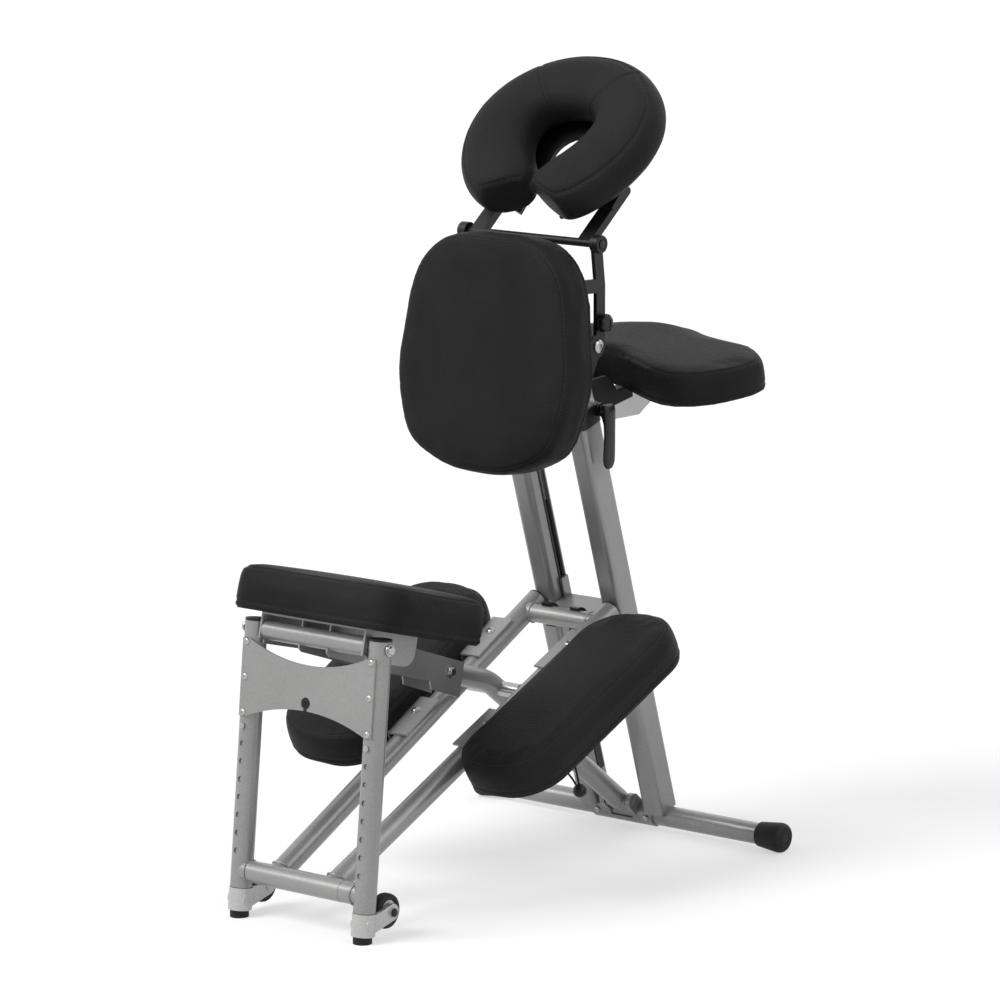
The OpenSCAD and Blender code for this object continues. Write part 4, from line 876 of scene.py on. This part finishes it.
CORD_ROUTE = [
    (0.024, 0.1875, 0.093), (0.0235, 0.186, 0.102), (0.0225, 0.184, 0.112), (0.0215, 0.1815, 0.122),
    (0.0205, 0.179, 0.132), (0.0195, 0.177, 0.141), (0.0185, 0.1755, 0.151), (0.016, 0.1805, 0.1575),
    (0.0095, 0.185, 0.163), (0., 0.1865, 0.165), (-0.0095, 0.185, 0.163), (-0.016, 0.1805, 0.1575),
    (-0.0185, 0.1755, 0.151), (-0.017, 0.1705, 0.144), (-0.0115, 0.1665, 0.1385), (-0.004, 0.164, 0.136),
    (0.003, 0.167, 0.127), (0.008, 0.172, 0.119), (0.012, 0.1775, 0.1105), (0.0155, 0.183, 0.102),
    (0.019, 0.188, 0.0915),
]
CORD_BALL = (0.024, 0.190, 0.084)


class CHAIR_OT_elastic_cord(bpy.types.Operator):
    """Makes the elastic loop round the seat arm and its ball"""

    bl_idname = "chair.elastic_cord"
    bl_label = "Elastic cord"

    def execute(self, context):
        s = sizes()
        curve = bpy.data.curves.new("elastic_loop", "CURVE")
        curve.dimensions = "3D"
        line = curve.splines.new("POLY")
        route = smooth(CORD_ROUTE, 3)
        line.points.add(len(route) - 1)
        for point, place in zip(line.points, route):
            point.co = (*place, 1.0)
        curve.bevel_depth = s.cord_diameter / 2
        curve.bevel_resolution = 5
        curve.materials.append(finish("cord"))
        cord = bpy.data.objects.new("elastic_loop", curve)
        context.scene.collection.objects.link(cord)
        r = 0.0105
        profile = [(AXIS_R, -r)]
        for i in range(1, 24):
            a = -pi / 2 + pi * i / 24
            groove = 0.0005 if abs(i - 12) < 1 else 0.0
            profile.append((r * cos(a) - groove, r * sin(a)))
        profile += [(0.0034, r * 0.985), (0.0030, r * 0.93), (AXIS_R, r * 0.92)]
        where = shift(*CORD_BALL) @ turned(-12, "X")
        ball = make_piece("cord_stop_ball", *lathed(profile), finish("plastic"), where)
        for part, node, slot in ((cord, "elastic_cord", "cord"), (ball, "cord_ball", "plastic")):
            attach(part, BODY_OF["cord_ball"])
            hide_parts(node)
        return {"FINISHED"}


# ---------- fittings


def fitting(name, parts, slot, node, stands_for=True, sharp=35):
    """A hard piece made of parts, on its node's body, which it stands for or only adds to."""
    piece = make_piece(name, *joined(parts), finish(slot), sharp=sharp)
    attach(piece, BODY_OF[node])
    if stands_for:
        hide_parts(node)


def both_sides(shape, place):
    """The same part on the right and, mirrored, on the left."""
    return [(*shape, place), (*shape, MIRROR @ place)]


def pivot_heads(place, x):
    """A washer and a bolt head on each side of a pivot, from that distance outwards."""
    washer = 0.002
    washers = both_sides(washer_ring(0.0086, BOLT_R, washer), outward(place, x))
    return washers + both_sides(hex_head(0.0066, 0.0040), outward(place, x + washer))


class CHAIR_OT_fasteners(bpy.types.Operator):
    """Makes the bolts, washers and rivets"""

    bl_idname = "chair.fasteners"
    bl_label = "Bolts and rivets"

    def execute(self, context):
        reach = 0.050 + KNEE_TUBE_WAY[0] * 0.4744 / KNEE_TUBE_WAY[1] + TUBE_R
        scissor = at(*SCISSOR)
        parts = both_sides(hex_head(0.010, 0.0042), outward(scissor, reach + 0.0003))
        parts.append((*plain_rod(BOLT_R, 2 * reach), outward(scissor, -reach)))
        for x, y in ((0.066, 0.372), (0.072, 0.572)):
            place = KNEE_PLACE @ shift(x, y, TUBE_R + 0.003)
            parts += both_sides(socket_head(0.0055, 0.0032), place)
            parts += both_sides(washer_ring(0.0075, 0.004, 0.0008), place)
        for y in (-0.1035, 0.1165):
            place = aim(KNEE_BOARD_PLACE @ shift(0.0295, y, -0.003), (0, 0, -1))
            parts += both_sides(socket_head(0.0055, 0.0028), place)
        fitting("knee_frame_hardware", parts, "zinc", "knee_frame_bolts")
        pivot = at(*ARM_PIVOT)
        parts = pivot_heads(pivot, 0.0265)
        parts.append((*plain_rod(BOLT_R, 0.057), outward(pivot, -0.0285)))
        fitting("seat_pivot_hardware", parts, "zinc", "seat_pivot_bolt")
        hinge = at(*SEAT_PIVOT)
        parts = pivot_heads(hinge, POST_X + TUBE_R)
        parts += both_sides(plain_rod(BOLT_R, 0.0343), outward(hinge, 0.0953))
        for up in (0.292, 0.3425, 0.392):
            place = aim(POST_PLACE @ shift(POST_X, -TUBE_R - 0.0025, up), (0, -1, 0))
            parts += both_sides(rivet_head(0.0052, 0.0026), place)
        fitting("rear_frame_hardware", parts, "zinc", "rear_frame_fasteners")
        parts = both_sides(socket_head(0.0100, 0.0044), outward(TILT_PLACE, 0.1203))
        parts += both_sides(plain_rod(BOLT_R, 0.0265), outward(TILT_PLACE, 0.0938))
        fitting("tilt_hardware", parts, "zinc", "tilt_bolts")
        boss = [(AXIS_R, 0.0), (0.0128, 0.0), (0.0130, 0.0012), (0.0122, 0.0024), (0.0092, 0.0026),
                (0.0088, 0.0016), (0.0070, 0.0016), (0.0066, 0.0034), (AXIS_R, 0.0036)]
        parts = both_sides(lathed(boss, 48), outward(at(0.520, 0.917), 0.1258))
        fitting("knuckle_bosses", parts, "plastic", "cradle_arms", stands_for=False, sharp=40)
        parts = []
        for x in (-0.0455, 0.0455):
            place = at(*BASE_AXIS) @ shift(x, 0, 0) @ turned(12, "X") @ shift(0, -TUBE_R - 0.0026, 0)
            parts.append((*rivet_head(0.0054, 0.0030), aim(place, (0, -1, 0))))
        fitting("saddle_rivets", parts, "zinc", "base_saddle", stands_for=False)
        return {"FINISHED"}


def lever_blade():
    """A moulded cam lever from its head down to its tip, in the cam pin's own frame."""
    # height, middle x, half thickness, half width
    sections = [
        (0.0090, 0.0, 0.0012, 0.0105), (0.0084, 0.0, 0.0042, 0.0122), (0.0055, 0.0002, 0.0074, 0.0130),
        (0.0, 0.0003, 0.0088, 0.0130), (-0.006, 0.0012, 0.0079, 0.0128), (-0.012, 0.0030, 0.0056, 0.0124),
        (-0.020, 0.0042, 0.0041, 0.0119), (-0.034, 0.0046, 0.0036, 0.0116), (-0.050, 0.0044, 0.0034, 0.0120),
        (-0.064, 0.0038, 0.0034, 0.0127), (-0.074, 0.0036, 0.0034, 0.0124), (-0.0805, 0.0036, 0.0032, 0.0098),
        (-0.0845, 0.0036, 0.0026, 0.0058), (-0.0860, 0.0036, 0.0010, 0.0016),
    ]
    rings = []
    for z, x, thick, wide in sections:
        turns = [(cos(2 * pi * j / 28), sin(2 * pi * j / 28)) for j in range(28)]
        rings.append([
            Vector((x + copysign(thick * abs(c) ** 0.6, c), copysign(wide * abs(d) ** 0.75, d), z))
            for c, d in turns
        ])
    return loft(rings)


class CHAIR_OT_levers_and_knob(bpy.types.Operator):
    """Makes the cam levers and the knob that locks the tilt"""

    bl_idname = "chair.levers_and_knob"
    bl_label = "Levers and knob"

    def execute(self, context):
        for hand, side in HANDS:
            name, node = "cam_handle_" + hand, "cam_lever_" + hand
            place = side @ at(0.576, 0.667) @ shift(0.0955, 0, 0)
            fitting(name, [(*lever_blade(), place)], "plastic", node, sharp=60)
            pin = [(*plain_rod(0.0029, 0.0275), aim(place @ shift(0, -0.01375, 0), (0, 1, 0)))]
            fitting(name + "_pin", pin, "zinc", node, stands_for=False)
        knob = at(0.528, 0.803) @ shift(0.1203, 0, 0)
        profile = [(AXIS_R, 0.0), (0.0085, 0.0), (0.0098, 0.0006), (0.0125, 0.0028), (0.0134, 0.0042),
                   (0.0135, 0.0095), (0.0131, 0.0115), (0.0118, 0.0130), (0.0092, 0.0137), (0.0062, 0.0139),
                   (0.0060, 0.0128), (AXIS_R, 0.0126)]

        def lobes(r, h, a):
            return r - 0.0014 * max(0.0, cos(8 * a)) ** 2 if r > 0.0110 else r

        stud = (*plain_rod(0.0040, 0.0115), outward(knob, -0.0113))
        parts = [(*lathed(profile, 96, lobes), outward(knob, 0)), stud]
        fitting("tilt_lock_knob", parts, "plastic", "tilt_knob", sharp=50)
        return {"FINISHED"}


class CHAIR_OT_wheels(bpy.types.Operator):
    """Makes the two wheels with their tyres, webs and axle caps"""

    bl_idname = "chair.wheels"
    bl_label = "Wheels"

    def execute(self, context):
        half = [(0.0042, 0.0086), (0.0078, 0.0088), (0.0082, 0.0080), (0.0082, 0.0052), (0.0150, 0.0050),
                (0.0168, 0.0082), (0.0182, 0.0090), (0.0218, 0.0086), (0.0240, 0.0068), (0.0249, 0.0040),
                (0.0250, 0.0012), (0.0244, 0.0006)]
        profile = [(r, -x) for r, x in half] + half[::-1]
        cap = [(AXIS_R, 0.0), (0.0062, 0.0), (0.0062, 0.0012), (0.0050, 0.0026), (0.0026, 0.0034),
               (AXIS_R, 0.0036)]
        web = 0.0058
        for hand, side in HANDS:
            name, node = "tyre_" + hand, "wheel_" + hand
            axle = side @ at(0.048, 0.036) @ shift(POST_X, 0, 0)
            parts = [(*lathed(profile, 72), outward(axle, 0))]
            for angle in range(0, 360, 60):
                for x in (-web, web):
                    place = axle @ turned(angle, "X") @ shift(x, 0, 0.0078)
                    parts.append((*plain_rod(0.0011, 0.0078, 12), aim(place, (0, 0, 1))))
            fitting(name, parts, "rubber", node, sharp=40)
            fitting(name + "_axle_cap", [(*lathed(cap, 32), outward(axle, 0.0173))], "plastic",
                    "foot_casting_" + hand, stands_for=False, sharp=60)
            rim = washer_ring(0.0165, 0.0132, 0.0010)
            rims = [(*rim, outward(axle, web)), (*rim, aim(axle @ shift(-web, 0, 0), (-1, 0, 0)))]
            fitting(name + "_rims", rims, "casting", node, stands_for=False, sharp=60)
        return {"FINISHED"}


class CHAIR_OT_end_caps(bpy.types.Operator):
    """Makes the flared rubber ends of the base tube"""

    bl_idname = "chair.end_caps"
    bl_label = "Base end caps"

    def execute(self, context):
        # radius, then distance from the mouth of the cap
        profile = [
            (TUBE_R, 0.0), (0.0174, 0.0), (0.0184, 0.0008), (0.0187, 0.0024), (0.0224, 0.0345),
            (0.0222, 0.0382), (0.0212, 0.0414), (0.0196, 0.0436), (0.0172, 0.0450), (0.0146, 0.0456),
            (0.0142, 0.0448), (0.0134, 0.0448), (0.0130, 0.0458), (0.0096, 0.0460), (0.0092, 0.0452),
            (0.0084, 0.0452), (0.0080, 0.0460), (AXIS_R, 0.0460),
        ]
        inside = [(AXIS_R, 0.0262), (TUBE_R, 0.0262)]
        parts = both_sides(lathed(inside + profile, 72), outward(at(*BASE_AXIS), 0.244))
        fitting("rubber_base_ends", parts, "rubber", "base_end_caps", sharp=40)
        return {"FINISHED"}


class CHAIR_OT_welds(bpy.types.Operator):
    """Lays the weld beads where tubes and plates meet"""

    bl_idname = "chair.welds"
    bl_label = "Weld beads"

    def execute(self, context):
        tube = aim(KNEE_PLACE @ shift(0.050, 0.0165, 0), (*KNEE_TUBE_WAY, 0))
        beads = [weld_bead(TUBE_R + 0.0004, tube, -0.004), weld_bead(0.0142, outward(at(*CARRIAGE), 0.0525))]
        parts = [part for bead in beads for part in both_sides(bead, UNMOVED)]
        fitting("knee_frame_welds", parts, "frame", "lower_sleeve", stands_for=False, sharp=None)
        post = aim(at(*LOW_SLEEVE) @ shift(POST_X - TUBE_R - 0.0008, 0, 0), (-1, 0, 0))
        parts = both_sides(weld_bead(TUBE_R + 0.0002, post, -0.003), UNMOVED)
        fitting("rear_frame_welds", parts, "frame", "lower_crossbar", stands_for=False, sharp=None)
        return {"FINISHED"}


# ---------- finishes on the carried-over solids


PLATED = ("pivot_bushes", "snap_button_left", "snap_button_right")  # plated, unlike their slot in the record


class CHAIR_OT_frame_finish(bpy.types.Operator):
    """Gives each carried-over piece its finish"""

    bl_idname = "chair.frame_finish"
    bl_label = "Frame finishes"

    def execute(self, context):
        slot_of = {part["node"]: part["material_slot"] for part in frame["record"]["subparts"]}
        slot_of.update(dict.fromkeys(PLATED, "zinc"))
        for name, piece in frame["nodes"].items():
            material = finish(slot_of[name])
            if not piece.material_slots:
                piece.data.materials.append(material)
            for place in piece.material_slots:
                place.material = material
        return {"FINISHED"}


# ---------- stage


SENSOR_WIDTH, FOCAL_PIXELS, PHOTO_PIXELS = 36.0, 4883.48, 1000.0


def heading_way(a, e):
    """The way out from the chair at that heading and height, in radians; heading 0 is behind the sitter."""
    return Vector((sin(a) * cos(e), -cos(a) * cos(e), sin(e)))


def soft_sun(name, heading, height, strength, width):
    """A broad studio light that shines from a heading and a height in degrees."""
    lamp = bpy.data.lights.new(name, "SUN")
    lamp.energy = strength
    lamp.angle = radians(width)
    holder = bpy.data.objects.new(name, lamp)
    way = heading_way(radians(heading), radians(height))
    holder.rotation_euler = way.to_track_quat("Z", "Y").to_euler()
    holder.location = way * 4
    bpy.context.scene.collection.objects.link(holder)


def plain_and_seen(tree, out, plain, seen):
    """Gives camera, glossy and transmission rays the seen shader, and all other rays the plain one."""
    light = tree.nodes.new("ShaderNodeLightPath")
    kinds = ("Camera", "Glossy", "Transmission")
    chosen = added(tree, *(light.outputs["Is %s Ray" % kind] for kind in kinds))
    chosen.node.use_clamp = True
    mix = tree.nodes.new("ShaderNodeMixShader")
    for slot, value in zip(mix.inputs, (chosen, plain, seen)):
        tree.links.new(value, slot)
    tree.links.new(mix.outputs[0], tree.nodes.new(out).inputs["Surface"])


def shader_node(tree, kind, colour, strength=None):
    node = tree.nodes.new(kind)
    node.inputs["Color"].default_value = (*colour, 1)
    if strength is not None:
        node.inputs["Strength"].default_value = strength
    return node.outputs[0]


WHITE = (1, 1, 1)


def floor_finish():
    material = bpy.data.materials.new("pale_floor")
    material.use_nodes = True
    tree = material.node_tree
    tree.nodes.clear()
    plain = shader_node(tree, "ShaderNodeBsdfDiffuse", colours().floor)
    both = tree.nodes.new("ShaderNodeAddShader")
    half = shader_node(tree, "ShaderNodeBsdfDiffuse", [c * 0.62 for c in colours().floor])
    tree.links.new(half, both.inputs[0])
    tree.links.new(shader_node(tree, "ShaderNodeEmission", WHITE, 0.56), both.inputs[1])
    plain_and_seen(tree, "ShaderNodeOutputMaterial", plain, both.outputs[0])
    return material


class CHAIR_OT_stage(bpy.types.Operator):
    """Sets the camera, the floor and the studio light"""

    bl_idname = "chair.stage"
    bl_label = "Stage"

    def execute(self, context):
        scene = context.scene
        scene.view_settings.view_transform = "Standard"
        a, e, away = radians(38.46), radians(11.03), 6.99107
        target = Vector((0.03739, 0.400 + REAR, 0.500))
        back = heading_way(a, e)
        lens = bpy.data.cameras.new("photo_camera")
        lens.sensor_width = SENSOR_WIDTH
        lens.lens = FOCAL_PIXELS * SENSOR_WIDTH / PHOTO_PIXELS
        lens.shift_y = 0.0372
        lens.clip_end = 200.0
        camera = bpy.data.objects.new("photo_camera", lens)
        camera.location = target + back * away
        camera.rotation_euler = back.to_track_quat("Z", "Y").to_euler()
        scene.collection.objects.link(camera)
        scene.camera = camera
        soft_sun("key_light", -28, 46, 2.35, 32)
        soft_sun("side_light", 96, 34, 0.55, 40)
        soft_sun("back_light", 190, 40, 0.55, 60)
        world = bpy.data.worlds.new("studio")
        scene.world = world
        world.use_nodes = True
        tree = world.node_tree
        tree.nodes.clear()
        dim, white = (shader_node(tree, "ShaderNodeBackground", WHITE, strength) for strength in (0.27, 1.0))
        plain_and_seen(tree, "ShaderNodeOutputWorld", dim, white)
        half = 45.0
        corners = [(-half, -half, 0), (half, -half, 0), (half, half, 0), (-half, half, 0)]
        make_piece("studio_floor", corners, [(0, 1, 2, 3)], floor_finish())
        return {"FINISHED"}


# ---------- sidebar


class CHAIR_PT_sidebar(bpy.types.Panel):
    """Lists the chair's pieces"""

    bl_idname = "CHAIR_PT_sidebar"
    bl_label = "Massage Chair"
    bl_space_type = "VIEW_3D"
    bl_region_type = "UI"
    bl_category = "Massage Chair"

    def draw(self, context):
        column = self.layout.column()
        for operator in OPERATORS:
            column.operator(operator.bl_idname)
        for group in (context.scene.chair_sizes, context.scene.chair_colours):
            box = self.layout.box().column()
            for name in group.bl_rna.properties.keys():
                if name not in ("rna_type", "name"):
                    box.prop(group, name)


OPERATORS = (
    CHAIR_OT_stage,
    CHAIR_OT_elastic_cord,
    CHAIR_OT_frame_finish,
    CHAIR_OT_seat_pad,
    CHAIR_OT_knee_pads,
    CHAIR_OT_chest_pad,
    CHAIR_OT_armrest_pad,
    CHAIR_OT_face_cushion,
    CHAIR_OT_fasteners,
    CHAIR_OT_levers_and_knob,
    CHAIR_OT_wheels,
    CHAIR_OT_end_caps,
    CHAIR_OT_welds,
)
CLASSES = (ChairSizes, ChairColours, *OPERATORS, CHAIR_PT_sidebar)


def register():
    for cls in CLASSES:
        bpy.utils.register_class(cls)
    bpy.types.Scene.chair_sizes = PointerProperty(type=ChairSizes)
    bpy.types.Scene.chair_colours = PointerProperty(type=ChairColours)


def unregister():
    del bpy.types.Scene.chair_colours
    del bpy.types.Scene.chair_sizes
    for cls in reversed(CLASSES):
        bpy.utils.unregister_class(cls)


def plain(box):
    return [[float(c) for c in corner] for corner in box]


def main():
    register()
    for operator in OPERATORS:
        getattr(bpy.ops.chair, operator.bl_idname.split(".")[1])()


if __name__ == "__main__":
    main()
